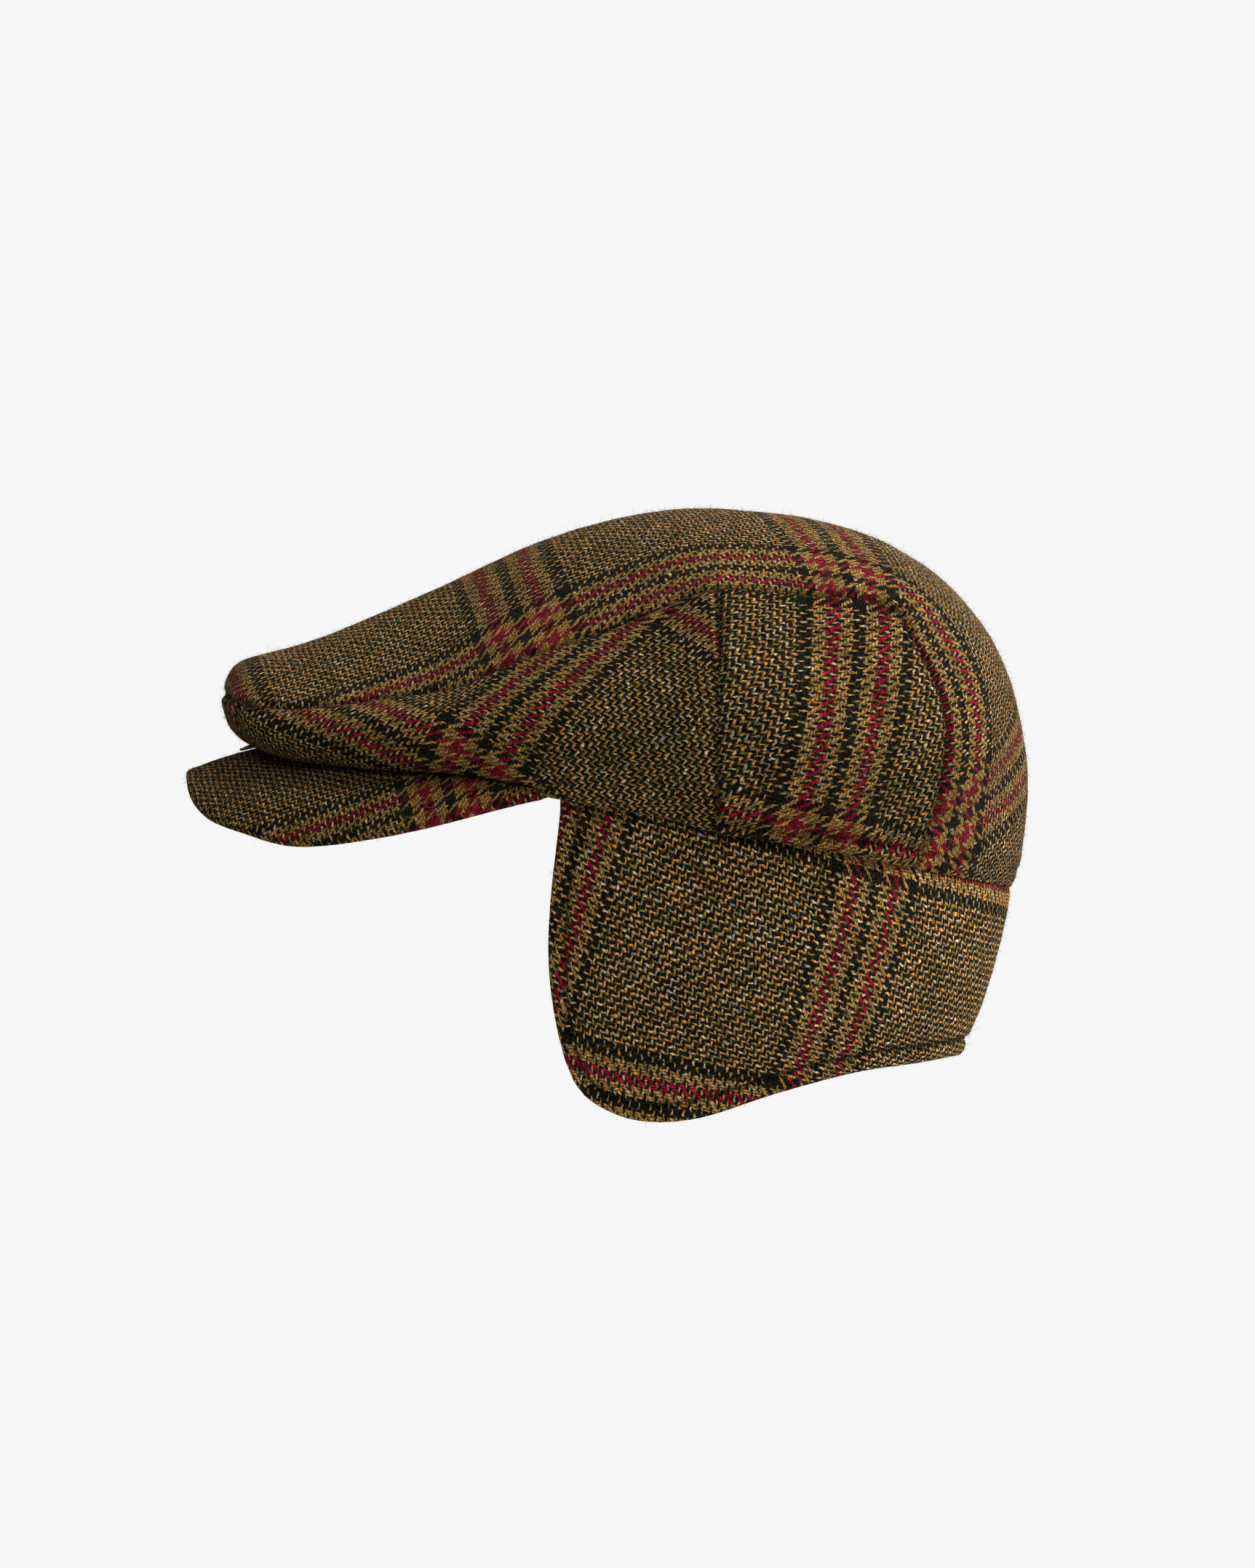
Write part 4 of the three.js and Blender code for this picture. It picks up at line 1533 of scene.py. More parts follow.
@dataclass
class Wardrobe:
    """Every finish of the cap, made once.

    Attributes:
        tweed: Cloth of the side panels.
        top_tweed: The same cloth on the top panel, a copy with painted light, brighter than the
            sides.
        peak_tweed: The same cloth on the peak, a copy with painted shade, darker than the sides.
        flap_tweed: The same cloth on the flap, a copy with painted light, brightest of all.
        lining: Inside of the crown.
        hair: Loose hairs.
        thread: Stitches.
        brass: Press stud.
    """

    tweed: bpy.types.Material
    top_tweed: bpy.types.Material
    peak_tweed: bpy.types.Material
    flap_tweed: bpy.types.Material
    lining: bpy.types.Material
    hair: bpy.types.Material
    thread: bpy.types.Material
    brass: bpy.types.Material

    @classmethod
    def filled(cls) -> "Wardrobe":
        """All the finishes.

        Returns:
            The wardrobe.
        """
        # four copies of one tweed whose gains paint light and shade panel by panel
        return cls(CheckedTweed(gain=1.16).material("side tweed"),
                   CheckedTweed(gain=1.26, sheen=0.03, gloss=0.04).material("top tweed"),
                   CheckedTweed(gain=1.02, favour=0.03, lean=(-0.28, -0.16)).material("peak tweed"),
                   CheckedTweed(favour=0.03, lean=(-0.28, -0.16)).material("flap tweed"),
                   PlainLining().material("crown lining"), LooseHair().material("loose wool hair"),
                   SewingThread().material("olive thread"), AgedBrass().material("aged brass"))


# ---------------------------------------------------------------- nap
# A bent hair has corners 0 to 2 at its foot, 3 to 5 at its bend and 6 at its tip. A straight
# one has 0 to 2 at its foot and 3 at its tip.
BENT_HAIR_SIDES = ((0, 1, 4, 3), (1, 2, 5, 4), (2, 0, 3, 5))
BENT_HAIR_ENDS = ((3, 4, 6), (4, 5, 6), (5, 3, 6), (0, 2, 1))
STRAIGHT_HAIR = ((0, 1, 3), (1, 2, 3), (2, 0, 3), (0, 2, 1))


@dataclass
class Nap:
    """Loose hairs on a cloth face, each a spike with three sides.

    Attributes:
        per_area: Hairs per square millimetre.
        bent_share: Share of the hairs that are long and bent; the others are straight.
        straight: Length of a straight hair against a bent one.
        shortest: Shortest bent hair.
        longest: Longest bent hair.
        thick: Width of a hair at its foot.
        taper: Its width at the bend against that.
        rooted: How deep the foot sits in the cloth.
        lift: Power, range and least value of the angle between hair and cloth, in radians.
        curl: How far a bent hair's tip strays from its foot's direction.
        droop: How far the tip bends back to the cloth.
        seed: Seed of the random draws.
    """

    per_area: float = 0.62
    bent_share: float = 0.18
    straight: float = 0.5
    shortest: float = 1.0
    longest: float = 3.6
    thick: float = 0.075
    taper: float = 0.75
    rooted: float = 0.15
    lift: tuple[float, float, float] = (2.2, 1.25, 0.1)
    curl: float = 0.45
    droop: float = 0.25
    seed: int = 7

    def grow(self, name: str, outer: Grid, cloth: Grid, material: bpy.types.Material,
             mask: Optional[Grid] = None) -> bpy.types.Object:
        """Grows hairs on a grid of outer points.

        Args:
            name: Name of the piece.
            outer: Points of the cloth's face, normals outward.
            cloth: Yarn numbers on the grid.
            material: Finish of the hairs.
            mask: 0 where no hair grows, 1 where all of it does.

        Returns:
            The new object.
        """
        draw = np.random.default_rng(self.seed)
        normals = grid_normals(outer)
        p, q, r = outer[:-1, :-1], outer[1:, :-1], outer[:-1, 1:]
        area = np.linalg.norm(np.cross(q - p, r - p), axis=-1)
        share = area if mask is None else area * mask[:-1, :-1]
        count = int(self.per_area * share.sum())
        cell = draw.choice(share.size, count, p=(share / share.sum()).ravel())
        i, j = np.unravel_index(cell, share.shape)
        s, t = draw.random((2, count, 1))
        foot = outer[i, j] * (1 - s) * (1 - t) + outer[i + 1, j] * s * (1 - t) \
            + outer[i, j + 1] * (1 - s) * t + outer[i + 1, j + 1] * s * t
        normal = normals[i, j]
        sideways = unit(np.cross(normal, unit(draw.normal(size=(count, 3)))))
        lift = draw.random((count, 1)) ** self.lift[0] * self.lift[1] + self.lift[2]
        length = self.shortest + (self.longest - self.shortest) * draw.random((count, 1)) ** 2
        way = unit(sideways * np.cos(lift) + normal * np.sin(lift))
        curl = unit(way + draw.normal(size=(count, 3)) * self.curl - normal * self.droop)
        middle = foot + way * length * 0.5
        wide = unit(np.cross(way, draw.normal(size=(count, 3))))
        deep = np.cross(way, wide)
        ring = [(wide * math.cos(a) + deep * math.sin(a)) * (self.thick / 2)
                for a in (0.0, 2 * math.pi / 3, 4 * math.pi / 3)]
        low = [foot - normal * self.rooted + corner for corner in ring]
        high = [middle + corner * self.taper for corner in ring]
        few = int(count * self.bent_share)
        bent = np.stack([part[:few] for part in (*low, *high, middle + curl * length * 0.5)], 1)
        stub = foot + way * length * self.straight
        plain = np.stack([part[few:] for part in (*low, stub)], 1)
        first = np.arange(few)[:, None, None] * 7
        spikes = few * 7 + np.arange(count - few)[:, None, None] * 4 + np.array(STRAIGHT_HAIR)
        corners = np.where(np.arange(count) < few, 7, 4)
        quads = (first + np.array(BENT_HAIR_SIDES)).reshape(-1, 4)
        ends = (first + np.array(BENT_HAIR_ENDS)).reshape(-1, 3)
        tone = np.repeat(draw.random(count), corners)
        return mesh_piece(name, np.concatenate([bent.reshape(-1, 3), plain.reshape(-1, 3)]),
                          [quads, np.concatenate([ends, spikes.reshape(-1, 3)])],
                          np.repeat(cloth[i, j], corners, axis=0), [material], None, tone)


# ---------------------------------------------------------------- sub-assemblies
def worn(piece: bpy.types.Object, slot: str, *nodes: str) -> bpy.types.Object:
    """Rides a piece on the cap's body and hides the solids that it stands for.

    Args:
        piece: The piece.
        slot: Name of a material slot; not used.
        nodes: Solids that it stands for.

    Returns:
        The piece itself.
    """
    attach(piece, BODY)
    if nodes:
        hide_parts(*nodes)
    LOG.info("%s: %d faces", piece.name, len(piece.data.polygons))
    return piece


@dataclass
class Crown:
    """Five sewn panels of the crown.

    Attributes:
        wardrobe: Finishes of the cap.
        form: Its surface.
        wall: Thickness of the cloth with its lining.
        seam_depth: How deep the cloth sinks at a seam.
        seam_width: How wide that hollow is.
        hem_depth: How far the hem rolls in.
        hem_width: How wide the roll is.
        band_width: Width of the turned band along the hem.
        groove_width: Half width of the groove that ends the band.
        band_puff: Fullness of the band against the depth of that groove.
        puff_width: Half width of that fullness.
        inner_share: How much of the outer swelling the inner face takes.
        inner_least: Least thickness of the cloth in a hollow.
        painted_shade_depth: How much shade is painted into the seams and the groove above the hem.
        folds: Soft valleys and ridges of the worn-in crown.
        top_lay, front_lay, back_lay: How the check lies on each panel.
    """

    wardrobe: Wardrobe
    form: CrownForm = field(default_factory=CrownForm)
    wall: float = 1.8
    seam_depth: float = 1.15
    seam_width: float = 1.5
    hem_depth: float = 1.2
    hem_width: float = 2.0
    band_width: float = 5.6
    groove_width: float = 1.1
    band_puff: float = 0.6
    puff_width: float = 1.7
    inner_share: float = 0.3
    inner_least: float = 0.5
    painted_shade_depth: float = 0.75
    folds: tuple[SoftFold, ...] = (
        SoftFold((9, 74), (8, 2), 2.1, 9.0), SoftFold((24, 70), (23, 4), 1.3, 13.0),
        SoftFold((40, 58), (60, 38), -1.8, 8.0), SoftFold((62, 24), (63, 10), -1.3, 8.0),
        SoftFold((-36, 26), (0, 12), -1.4, 8.0))
    top_lay: Lay = Lay(across=64.4, along=60.7, across_pitch=0.84, along_pitch=0.926,
                       twill=-1, bow=20.0, swell=5.7)
    front_lay: Lay = Lay(across=38.5, along=4.0, across_pitch=0.98, along_pitch=0.86, turn=53.0)
    back_lay: Lay = Lay(across=32.6, along=62.5, across_pitch=1.10, along_pitch=0.93, turn=10.0,
                        twill=-1)

    def face(self, outer: Grid, places: Grid, seams: Sequence[Grid], hem: Grid,
             band: float = 0.0, tight: float = 1.0) -> tuple[Grid, Grid, Grid]:
        """Sinks the cloth at its seams, rolls it in at its hem and paints shade into seams and
        groove.

        Args:
            outer: Points of the outer face, normals outward.
            places: Flat places of those points.
            seams: Flat lines along which it is sewn to another panel.
            hem: Flat line along which it ends.
            band: Depth of the stitched groove above the hem.
            tight: How much deeper and wider than elsewhere the hem rolls in.

        Returns:
            The outer points, the inner points and the painted light level, lower where shade is
            painted.
        """
        normals = grid_normals(outer)
        drop = np.zeros(outer.shape[:2])
        for line in seams:
            away = distance_to(line, places)
            drop = np.maximum(drop, self.seam_depth * np.exp(-(away / self.seam_width) ** 2))
        low = distance_to(hem, places)
        groove = band * np.exp(-((low - self.band_width) / self.groove_width) ** 2)
        puff = (band * self.band_puff
                * np.exp(-((low - self.band_width / 2) / self.puff_width) ** 2))
        drop = np.maximum(drop, groove)
        roll = self.hem_depth * tight * np.clip(1 - low / (self.hem_width * tight ** 3), 0,
                                                1) ** 2
        # share of the seam or groove depth, which sets how much shade is painted there
        closed = np.clip(drop / self.seam_depth, 0, 1)
        drop = drop + roll
        swell = rumple(outer) + puff + sum(fold.at(outer) for fold in self.folds)
        under = (np.minimum(swell * self.inner_share, swell)
                 - np.maximum(drop + self.inner_least, self.wall))
        return (outer + normals * (swell - drop)[..., None], outer + normals * under[..., None],
                1 - self.painted_shade_depth * closed)

    def top(self) -> None:
        """The top panel, from the nose to the rim at the back."""
        at = np.concatenate([np.linspace(0, NOSE_END, 6), np.linspace(NOSE_END, SIDE_SEAM, 22)[1:],
                             np.linspace(SIDE_SEAM, 1, 10)[1:], np.linspace(1, 2, 26)[1:]])
        w = np.linspace(-1, 1, 23)
        cut = ClothCut(at, w, self.form.top(at[:, None], w[None]))
        cut.settle((0.2, 0), (1.9, 0), (0.8, 1)).even_sides()
        fine_at = np.concatenate([
            crowded(0, NOSE_END, 26, 0.3), crowded(NOSE_END, SIDE_SEAM, 96, 0.2)[1:],
            crowded(SIDE_SEAM, 1, 44, 0.3)[1:], crowded(1, 2, 110, 0.5)[1:]])
        fine_w = crowded(-1, 1, 121, 0.75)
        outer = self.form.top(fine_at[:, None], fine_w[None])
        places = cut.at(fine_at[:, None], fine_w[None])
        seams = [places[:, 0], places[:, -1]]
        # the third value is the painted light level, with painted shade in the seams and groove
        outer, inner, painted_light = self.face(outer, places, seams, places[-1], band=0.3, tight=1.75)
        cloth = self.top_lay.yarns(places)
        shell = Shell(outer, inner, cloth, painted_light, folded=True)
        worn(shell.build("crown_top_panel", self.wardrobe.top_tweed, self.wardrobe.lining),
             "tweed", "crown_top")
        worn(Nap(seed=11).grow("nap_crown_top", outer, cloth, self.wardrobe.hair), "tweed")

    def sides(self) -> None:
        """The front and back side panels, left and right."""
        v = np.linspace(0, 3, 19)
        at = np.concatenate([np.linspace(0, NOSE_END, 6), np.linspace(NOSE_END, SIDE_SEAM, 30)[1:]])
        # below the roll in front, the cloth is out of sight and may stretch
        hidden = smooth(1.9, 2.2, v)[None] * (1 - smooth(0.47, 0.56, at))[:, None]
        front = ClothCut(at, v, self.form.side(at[:, None], v[None]), 1 - 0.98 * hidden)
        front.settle((0.25, 1), (0.65, 1), (0.45, 3))
        back_at = np.linspace(SIDE_SEAM, 1, 14)
        back = ClothCut(back_at, v, self.form.side(back_at[:, None], v[None]))
        back.settle((0.8, 0.5), (0.8, 2.5), (1.0, 1.6))
        # name, flat cut, lay, first and last station, count of stations, seed, band, tight
        parts = (("front", front, self.front_lay, 0.0, SIDE_SEAM, 210, 31, 0.0, 1.15),
                 ("back", back, self.back_lay, SIDE_SEAM, 1.0, 90, 32, 1.5, 1.25))
        for name, cut, lay, low, high, count, seed, band, tight in parts:
            stations = crowded(low, high, count, 0.6)[:, None]
            levels = crowded(0, 3, 78, 0.6)[None]
            places = cut.at(stations, levels)
            seams = [places[:, 0], places[-1], places[0]]
            # the third value is the painted light level, with painted shade in the seams and groove
            outer, inner, painted_light = self.face(self.form.side(stations, levels), places, seams,
                                            places[:, -1], band, tight)
            shell = Shell(outer, inner, lay.yarns(places), painted_light)
            for side in Side:
                word = side.name.lower()
                worn(shell.build(f"crown_{name}_panel_{word}", self.wardrobe.tweed,
                                 self.wardrobe.lining, side), "tweed",
                     f"crown_side_{name}_{word}")
            # few hairs where the front hem lies on the peak
            shown = 1 - 0.97 * smooth(2.0, 2.3, levels) * (1 - smooth(0.5, 0.56, stations))
            worn(Nap(seed=seed).grow(f"nap_crown_{name}_left", outer, shell.cloth,
                                     self.wardrobe.hair, shown), "tweed")
            worn(Nap(seed=seed + 9).grow(f"nap_crown_{name}_right", mirrored(outer)[:, ::-1],
                                         shell.cloth[:, ::-1], self.wardrobe.hair,
                                         shown[:, ::-1]), "tweed")

    def build(self) -> None:
        """Makes and dresses all the panels."""
        self.top()
        self.sides()


@dataclass
class Peak:
    """The stiff peak: a board covered on both faces.

    Attributes:
        wardrobe: Finishes of the cap.
        form: Its surface.
        edge_round: Radius of the covered edge.
        bead: Fullness of the cloth just inside the edge.
        bead_at: Distance of that fullness from the edge.
        bead_width: Its half width.
        lay: How the check lies on it.
    """

    wardrobe: Wardrobe
    form: PeakForm = field(default_factory=PeakForm)
    edge_round: float = 1.8
    bead: float = 0.25
    bead_at: float = 2.6
    bead_width: float = 1.6
    lay: Lay = Lay(across=81.4, along=-23.0, across_pitch=0.90, along_pitch=0.90, turn=-2.0)

    def build(self) -> None:
        """Makes and dresses the peak."""
        s, w = np.linspace(-1, 1, 39), np.linspace(0, 1, 8)
        cut = ClothCut(s, w, self.form.upper(s[:, None], w[None]))
        cut.settle((0, 0.1), (0, 0.95), (1, 0.5))
        fine_s, fine_w = crowded(-1, 1, 231, 0.4)[:, None], crowded(0, 1, 60, 0.7)[None]
        places = cut.at(fine_s, fine_w)
        middle = self.form.point(fine_s, fine_w)
        normals = self.form.normal(fine_s, fine_w)
        away = np.minimum.reduce([distance_to(line, places) for line in (
            places[:, -1], places[:, 0], places[0], places[-1])])
        share = np.clip(1 - away / self.edge_round, 0, 1)
        half = self.form.wall / 2 * np.sqrt(1 - share ** 2)
        bead = self.bead * np.exp(-((away - self.bead_at) / self.bead_width) ** 2)
        half = half + bead * (away > 0.5)
        swell = rumple(middle, 0.5)
        outer = middle + normals * (half + swell)[..., None]
        inner = middle - normals * (half - swell)[..., None]
        cloth = self.lay.yarns(places + wrapped(places[:, -1], places, 1, 1, self.edge_round))
        shell = Shell(outer, inner, cloth, np.ones(outer.shape[:2]))
        worn(shell.build("peak_covered", self.wardrobe.peak_tweed, self.wardrobe.peak_tweed),
             "tweed_peak", "peak")
        worn(Nap(seed=51).grow("nap_peak_upper", outer, cloth, self.wardrobe.hair),
             "tweed_peak")
        worn(Nap(seed=52, per_area=0.18).grow("nap_peak_under", inner[:, ::-1], cloth[:, ::-1],
                                              self.wardrobe.hair), "tweed_peak")


@dataclass
class EarFlap:
    """The padded flap round the ears and the neck, with a stitched channel inside its edge.

    Attributes:
        wardrobe: Finishes of the cap.
        form: Its surface.
        edge_round: Radius of the turned edge.
        channel: Distance of the stitching from the edge.
        channel_depth: How deep the stitching draws the cloth in.
        channel_width: How wide that channel is.
        tuck_depth: How far the flap draws in where it goes up into the crown.
        tuck_span: How far below the rim that reaches.
        padding: Fullness of the padding inside the channel.
        bead: Fullness of the cloth between channel and edge.
        bead_width: Half width of that fullness.
        stitch: Length of a stitch.
        stitch_gap: Gap between two stitches.
        stitch_end: Length of the rim without stitches at both ends.
        folds: Soft valleys and ridges of the worn-in flap.
        lay: How the check lies on it.
    """

    wardrobe: Wardrobe
    form: FlapForm = field(default_factory=FlapForm)
    edge_round: float = 2.0
    channel: float = 6.4
    channel_depth: float = 1.2
    channel_width: float = 1.0
    tuck_depth: float = 0.6
    tuck_span: float = 1.7
    padding: float = 0.5
    bead: float = 0.35
    bead_width: float = 1.8
    stitch: float = 2.4
    stitch_gap: float = 0.9
    stitch_end: float = 4.0
    folds: tuple[SoftFold, ...] = (
        SoftFold((42, -19), (-22, -36), -1.6, 6.5), SoftFold((60, -44), (20, -52), -1.0, 8.0),
        SoftFold((-30, -50), (-26, -74), 0.7, 6.0))
    lay: Lay = Lay(across=-84.7, along=-7.8, across_pitch=0.902, along_pitch=1.015, skew=0.13)

    def build(self) -> None:
        """Makes and dresses the flap."""
        half = np.concatenate([np.linspace(0, 0.2, 8), np.linspace(0.2, 1, 18)[1:]])
        u, v = np.concatenate([half, 2 - half[-2::-1]]), np.linspace(0, 1, 14)
        cut = ClothCut(u, v, self.form.point(u[:, None], v[None]))
        cut.settle((1, 0.1), (1, 0.95), (2, 0.5))
        fine = np.concatenate([crowded(0, 0.16, 46, 0.2), np.linspace(0.16, 1, 118)[1:]])
        stations = np.concatenate([fine, 2 - fine[-2::-1]])[:, None]
        levels = crowded(0, 1, 124, 0.5)[None]
        places = cut.at(stations, levels)
        outer = self.form.point(stations, levels)
        normals = grid_normals(outer)
        rim = np.concatenate([places[0], places[1:-1, -1], places[-1, ::-1]])
        puff, drawn, tucked = self.fullness(outer, distance_to(rim, places))
        middle = outer - normals * (self.form.wall / 2)
        middle = middle + normals * sum(fold.at(outer) for fold in self.folds)[..., None]
        swell = rumple(outer, 0.9)
        face = middle + normals * (puff + swell)[..., None]
        lined = middle - normals * (puff - swell * 0.5)[..., None]
        run = sum(wrapped(line, places, axis, sign, self.edge_round) for line, axis, sign in (
            (places[:, -1], 1, 1), (places[0], 0, -1), (places[-1], 0, 1)))
        cloth = self.lay.yarns(places + run)
        # painted shade in the stitched channel and in the tuck under the crown's hem
        shell = Shell(face, lined, cloth, (1 - 0.7 * drawn) * (1 - 0.4 * tucked))
        piece = shell.build("ear_flap_padded", self.wardrobe.flap_tweed,
                            self.wardrobe.flap_tweed)
        worn(piece, "tweed_flap", "ear_flap")
        shown = smooth(0.03, 0.1, levels) * np.ones_like(stations)
        worn(Nap(seed=71).grow("nap_ear_flap", face, cloth, self.wardrobe.hair, shown),
             "tweed_flap")
        worn(Nap(seed=72, per_area=0.12).grow("nap_ear_flap_inside", lined[:, ::-1],
                                              cloth[:, ::-1], self.wardrobe.hair,
                                              shown[:, ::-1]), "tweed_flap")
        self.stitching(face, normals, places, rim)

    def fullness(self, outer: Grid, away: Grid) -> tuple[Grid, Grid, Grid]:
        """Half the thickness of the flap.

        Args:
            outer: Points of the outer surface.
            away: Distance of those points from the rim, on the flat cloth.

        Returns:
            Half the thickness, and how far the channel and the tuck draw the cloth in.
        """
        share = np.clip(1 - away / self.edge_round, 0, 1)
        puff = self.form.wall / 2 * np.sqrt(1 - share ** 2)
        drawn = np.exp(-((away - self.channel) / self.channel_width) ** 2)
        below = self.form.opening.height(outer[..., 1]) - outer[..., 2]
        tucked = np.exp(-(below / self.tuck_span) ** 2)
        puff = puff - self.channel_depth * drawn - self.tuck_depth * tucked
        puff = puff + self.padding * smooth(self.channel + 1, self.channel + 12, away)
        puff = puff + self.bead * np.exp(-((away - self.channel / 2) / self.bead_width) ** 2)
        return puff, drawn, tucked

    def stitching(self, face: Grid, normals: Grid, places: Grid, rim: Grid) -> None:
        """Sews thread stitches along the channel.

        Args:
            face: Points of the outer face.
            normals: Its normals.
            places: Flat places of those points.
            rim: Flat line of the edge.
        """
        run = np.concatenate([[0], np.cumsum(np.linalg.norm(np.diff(rim, axis=0), axis=1))])
        marks = np.arange(self.stitch_end, run[-1] - self.stitch_end,
                          self.stitch + self.stitch_gap)
        flat_places, points = places.reshape(-1, 2), face.reshape(-1, 3)
        outward = normals.reshape(-1, 3)
        step, count = 1.5, 6       # half the chord that gives the way, points read for a place
        solid: list[Grid] = []
        for mark in marks:
            ends = []
            for s in np.linspace(mark, mark + self.stitch, 4):
                o, p, q = (np.array([np.interp(s + k * step, run, rim[:, m]) for m in range(2)])
                           for k in (-1, 0, 1))
                d = unit(q - o)
                target = p + np.array([d[1], -d[0]]) * self.channel * self.inward(rim)
                gap = ((flat_places - target) ** 2).sum(1)
                near = np.argpartition(gap, count)[:count]
                weight = 1 / (gap[near] + 0.02)
                weight /= weight.sum()
                ends.append([weight @ points[near], unit(weight @ outward[near])])
            solid.append(np.array(ends))
        self.thread(np.array(solid))

    @staticmethod
    def inward(rim: Grid) -> float:
        """1 if the cloth lies to the right of the rim's direction, -1 if to its left."""
        x, y = rim[:, 0], rim[:, 1]
        return 1.0 if (x[:-1] * y[1:] - x[1:] * y[:-1]).sum() < 0 else -1.0

    def thread(self, stitches: Grid) -> None:
        """Makes round stitches that dip into the cloth at both ends.

        Args:
            stitches: Point and normal at each stop of each stitch.
        """
        count, stops = stitches.shape[:2]
        point, normal = stitches[:, :, 0], stitches[:, :, 1]
        sink = np.array([-0.35, 0.16, 0.16, -0.35])[None, :, None]
        centre = point + normal * sink
        along = unit(np.gradient(centre, axis=1))
        across = unit(np.cross(along, normal))
        up = np.cross(across, along)
        size = np.array([0.10, 0.2, 0.2, 0.10])[None, :, None]
        sides = 6
        rings = [centre + (across * math.cos(a) + up * math.sin(a)) * size
                 for a in 2 * math.pi * np.arange(sides) / sides]
        points = np.stack(rings, 2).reshape(count * stops * sides, 3)
        start = (np.arange(count) * stops * sides)[:, None]
        quads = []
        for k in range(stops - 1):
            for m in range(sides):
                n = (m + 1) % sides
                quads.append([k * sides + m, k * sides + n, (k + 1) * sides + n,
                              (k + 1) * sides + m])
        caps = [[sides - 1 - m for m in range(sides)],
                [(stops - 1) * sides + m for m in range(sides)]]
        blocks = [(start[:, None, :] + np.array(quads)).reshape(-1, 4),
                  (start[:, None, :] + np.array(caps)).reshape(-1, sides)]
        cloth = np.stack([np.arange(len(points)) * 0.11, np.tile(np.arange(stops * sides) * 0.2,
                                                                 count)], 1)
        worn(mesh_piece("flap_stitching", points, blocks, cloth, [self.wardrobe.thread]),
             "tweed_flap")


@dataclass
class PressStud:
    """The press stud that joins the nose of the crown to the peak.

    Attributes:
        wardrobe: Finishes of the cap.
        form: Form of the peak that it sits on.
        reach: Place on the peak from root to edge.
        lift: Gap between the peak and the stud.
        profile: Radius and height rows of the turned stud.
    """

    wardrobe: Wardrobe
    form: PeakForm = field(default_factory=PeakForm)
    reach: float = 0.64
    lift: float = 0.3
    profile: tuple = ((0.0, 0.0), (3.9, 0.0), (4.4, 0.12), (4.6, 0.4), (4.5, 0.72), (4.05, 0.86),
                      (3.7, 0.8), (3.2, 0.98), (2.4, 1.2), (1.3, 1.36), (0.0, 1.4))

    def build(self) -> None:
        """Turns the stud and sets it on the peak."""
        up = self.form.normal(0.0, self.reach)
        foot = self.form.point(0.0, self.reach) + up * (self.form.wall / 2 + self.lift)
        side = np.array([1.0, 0.0, 0.0])
        back = np.cross(up, side)
        turns = np.linspace(0, 2 * math.pi, 49)[:-1]
        rows = np.array([[foot + up * z + (side * math.cos(a) + back * math.sin(a)) * r
                          for a in [*turns, turns[0]]] for r, z in self.profile])
        quads = grid_quads(*rows.shape[:2], turned=True)
        points = rows.reshape(-1, 3)
        worn(mesh_piece("press_stud_turned", points, [quads], points[:, :2],
                        [self.wardrobe.brass]), "stud_metal", "press_stud")


@dataclass(frozen=True)
class SoftBox:
    """A square lamp that looks at the cap.

    Attributes:
        name: Name of the lamp.
        place: Its middle, in metres.
        size: Length of a side, in metres.
        power: Power in watts.
    """

    name: str
    place: tuple[float, float, float]
    size: float
    power: float

    def build(self, target: Grid) -> None:
        """Hangs the lamp and turns it to the target.

        Args:
            target: Point that it looks at, in metres.
        """
        data = bpy.data.lights.new(self.name, "AREA")
        data.size = self.size
        data.energy = self.power
        lamp = bpy.data.objects.new(self.name, data)
        lamp.location = self.place
        way = target - np.array(self.place)
        flat = math.hypot(way[0], way[1])
        lamp.rotation_euler = (math.atan2(flat, -way[2]), 0.0,
                               math.atan2(way[1], way[0]) - math.pi / 2)
        bpy.context.collection.objects.link(lamp)


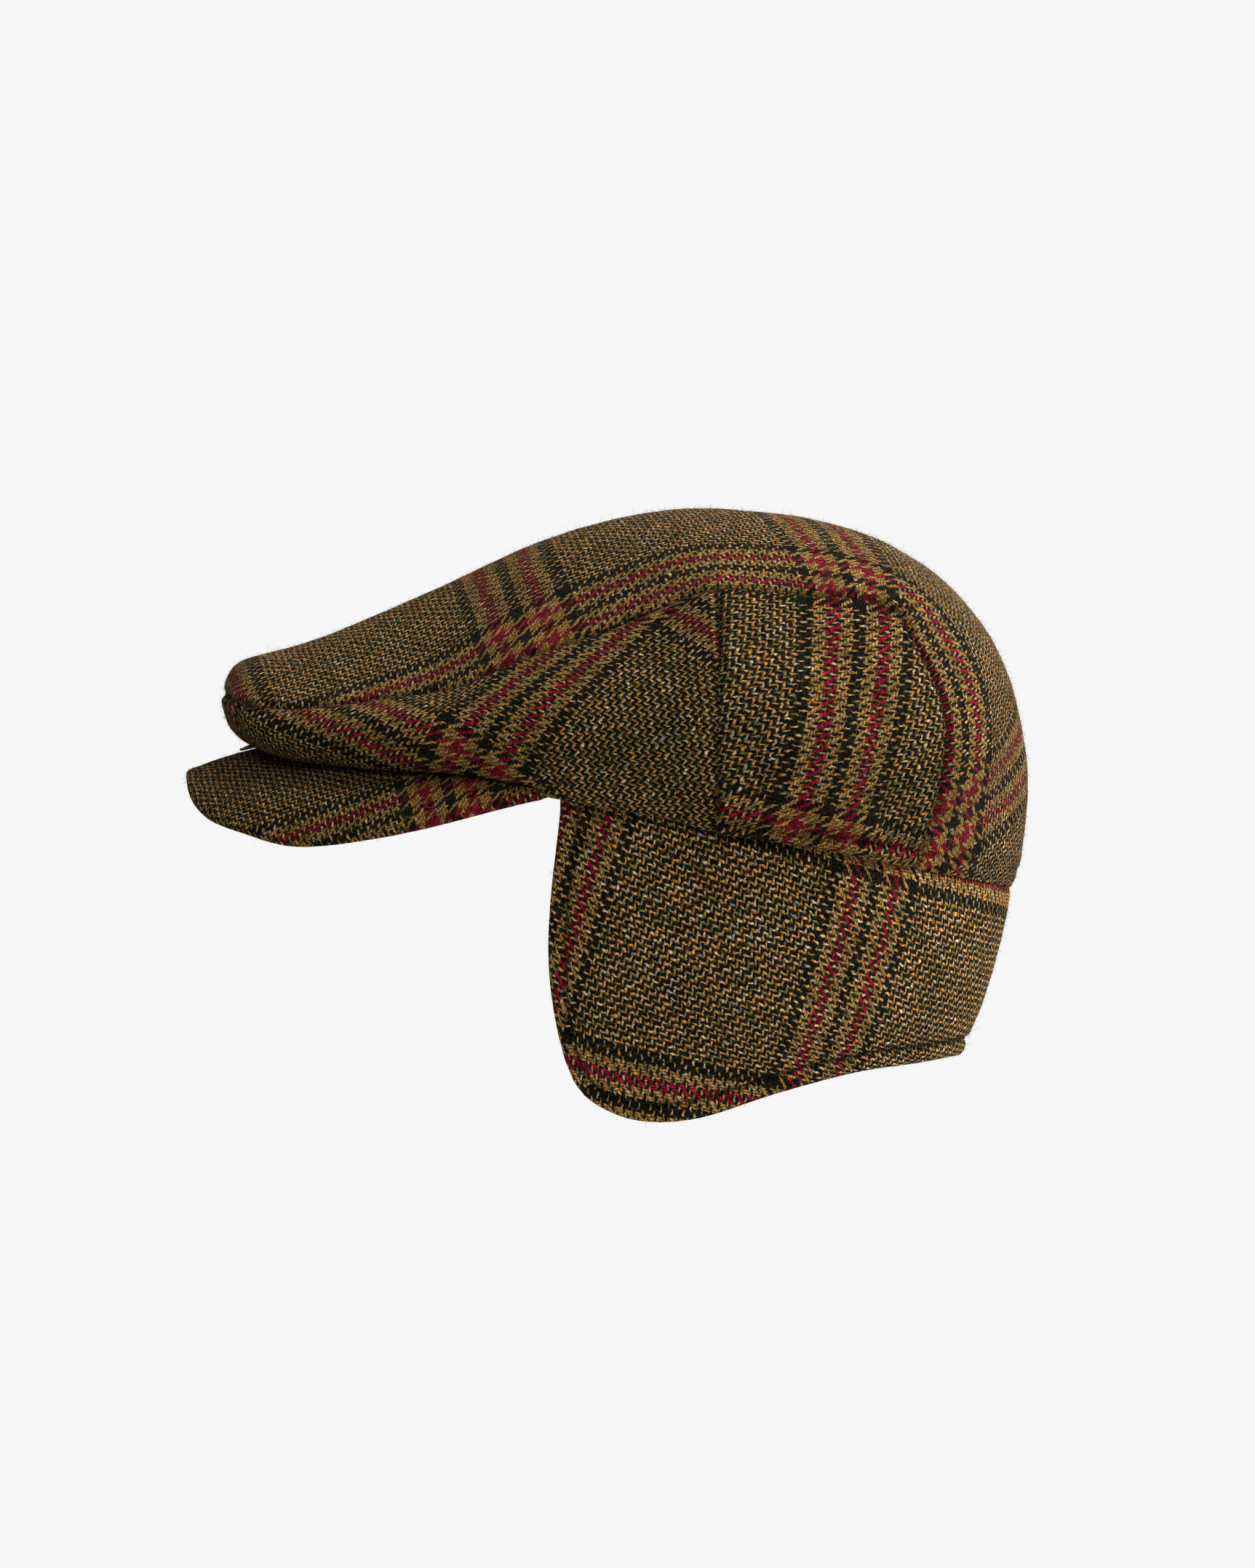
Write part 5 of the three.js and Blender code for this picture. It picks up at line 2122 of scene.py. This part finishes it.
@dataclass
class Studio:
    """Pale floor, soft light and the camera at the wearer's left.

    Attributes:
        lens: Focal length in millimetres.
        sensor: Longer side of the film in millimetres.
        tall: Height of the view at the cap, in metres.
        look_at: Y and Z at the middle of the view, in metres.
        floor: Height of the floor, in metres.
        pale: Grey of the background.
        ambient: Strength of the even light.
        boxes: The lamps.
    """

    lens: float = 400.0
    sensor: float = 36.0
    tall: float = 0.5045
    look_at: tuple[float, float] = (-0.0198, 0.0152)
    floor: float = -0.302
    pale: float = 0.922
    ambient: float = 0.075
    boxes: tuple[SoftBox, ...] = (SoftBox("rear box", (-0.2, 1.4, 1.0), 0.9, 31.0),
                                  SoftBox("top box", (0.6, 0.4, 1.45), 0.7, 10.0),
                                  SoftBox("side box", (1.5, 0.15, 0.75), 0.7, 7.4),
                                  SoftBox("front box", (0.0, -1.2, 1.5), 0.6, 4.0))

    def build(self) -> None:
        """Sets up the whole studio."""
        self.camera()
        self.ground()
        self.light()

    def camera(self) -> None:
        """Camera level with the cap, looking along -X."""
        data = bpy.data.cameras.new("camera")
        data.lens = self.lens
        data.sensor_width = self.sensor
        data.clip_end = 50.0
        camera = bpy.data.objects.new("camera", data)
        camera.location = (self.tall * self.lens / self.sensor, *self.look_at)
        camera.rotation_euler = (math.pi / 2, 0.0, math.pi / 2)
        bpy.context.collection.objects.link(camera)
        bpy.context.scene.camera = camera

    def ground(self) -> None:
        """A round floor below the cap, its rim turned down a little."""
        turns = np.linspace(0, 2 * math.pi, 97)[:-1]
        profile = ((0, 0), (400, 0), (900, 0), (1150, 0), (1165, -4), (1170, -12))
        rows = np.array([[(r * math.cos(a), r * math.sin(a), z) for a in [*turns, turns[0]]]
                         for r, z in profile])
        points = rows.reshape(-1, 3) + np.array([0, 0, self.floor / MM])
        g = Graph("pale floor")
        place = g.place()
        grain = g.noise(place, 60.0, 3.0)
        g.paint(g.mix(grain, (0.72, 0.72, 0.72), (0.76, 0.76, 0.76)))
        g.finish(0.9, 0.1)
        floor = mesh_piece("floor", points, [grid_quads(*rows.shape[:2])], points[:, :2],
                           [g.material])

    def light(self) -> None:
        """A room that looks pale but lights weakly, and soft boxes all round the cap."""
        scene = bpy.context.scene
        scene.view_settings.view_transform = "Standard"
        world = bpy.data.worlds.new("white room")
        world.use_nodes = True
        scene.world = world
        nodes, links = world.node_tree.nodes, world.node_tree.links
        seen = nodes.new("ShaderNodeBackground")
        seen.inputs["Color"].default_value = (self.pale, self.pale, self.pale, 1.0)
        lit = nodes["Background"]
        lit.inputs["Color"].default_value = (1.0, 0.98, 0.95, 1.0)
        lit.inputs["Strength"].default_value = self.ambient
        path = nodes.new("ShaderNodeLightPath")
        mix = nodes.new("ShaderNodeMixShader")
        links.new(path.outputs["Is Camera Ray"], mix.inputs[0])
        links.new(lit.outputs[0], mix.inputs[1])
        links.new(seen.outputs[0], mix.inputs[2])
        links.new(mix.outputs[0], nodes["World Output"].inputs["Surface"])
        for box in self.boxes:
            box.build(np.array([0.0, -0.02, 0.0]))


def main() -> None:
    """Builds the studio and the cap."""
    logging.basicConfig(level=logging.INFO, format="%(name)s %(message)s")
    Studio().build()
    wardrobe = Wardrobe.filled()
    Crown(wardrobe).build()
    Peak(wardrobe).build()
    EarFlap(wardrobe).build()
    PressStud(wardrobe).build()


if __name__ == "__main__":
    main()
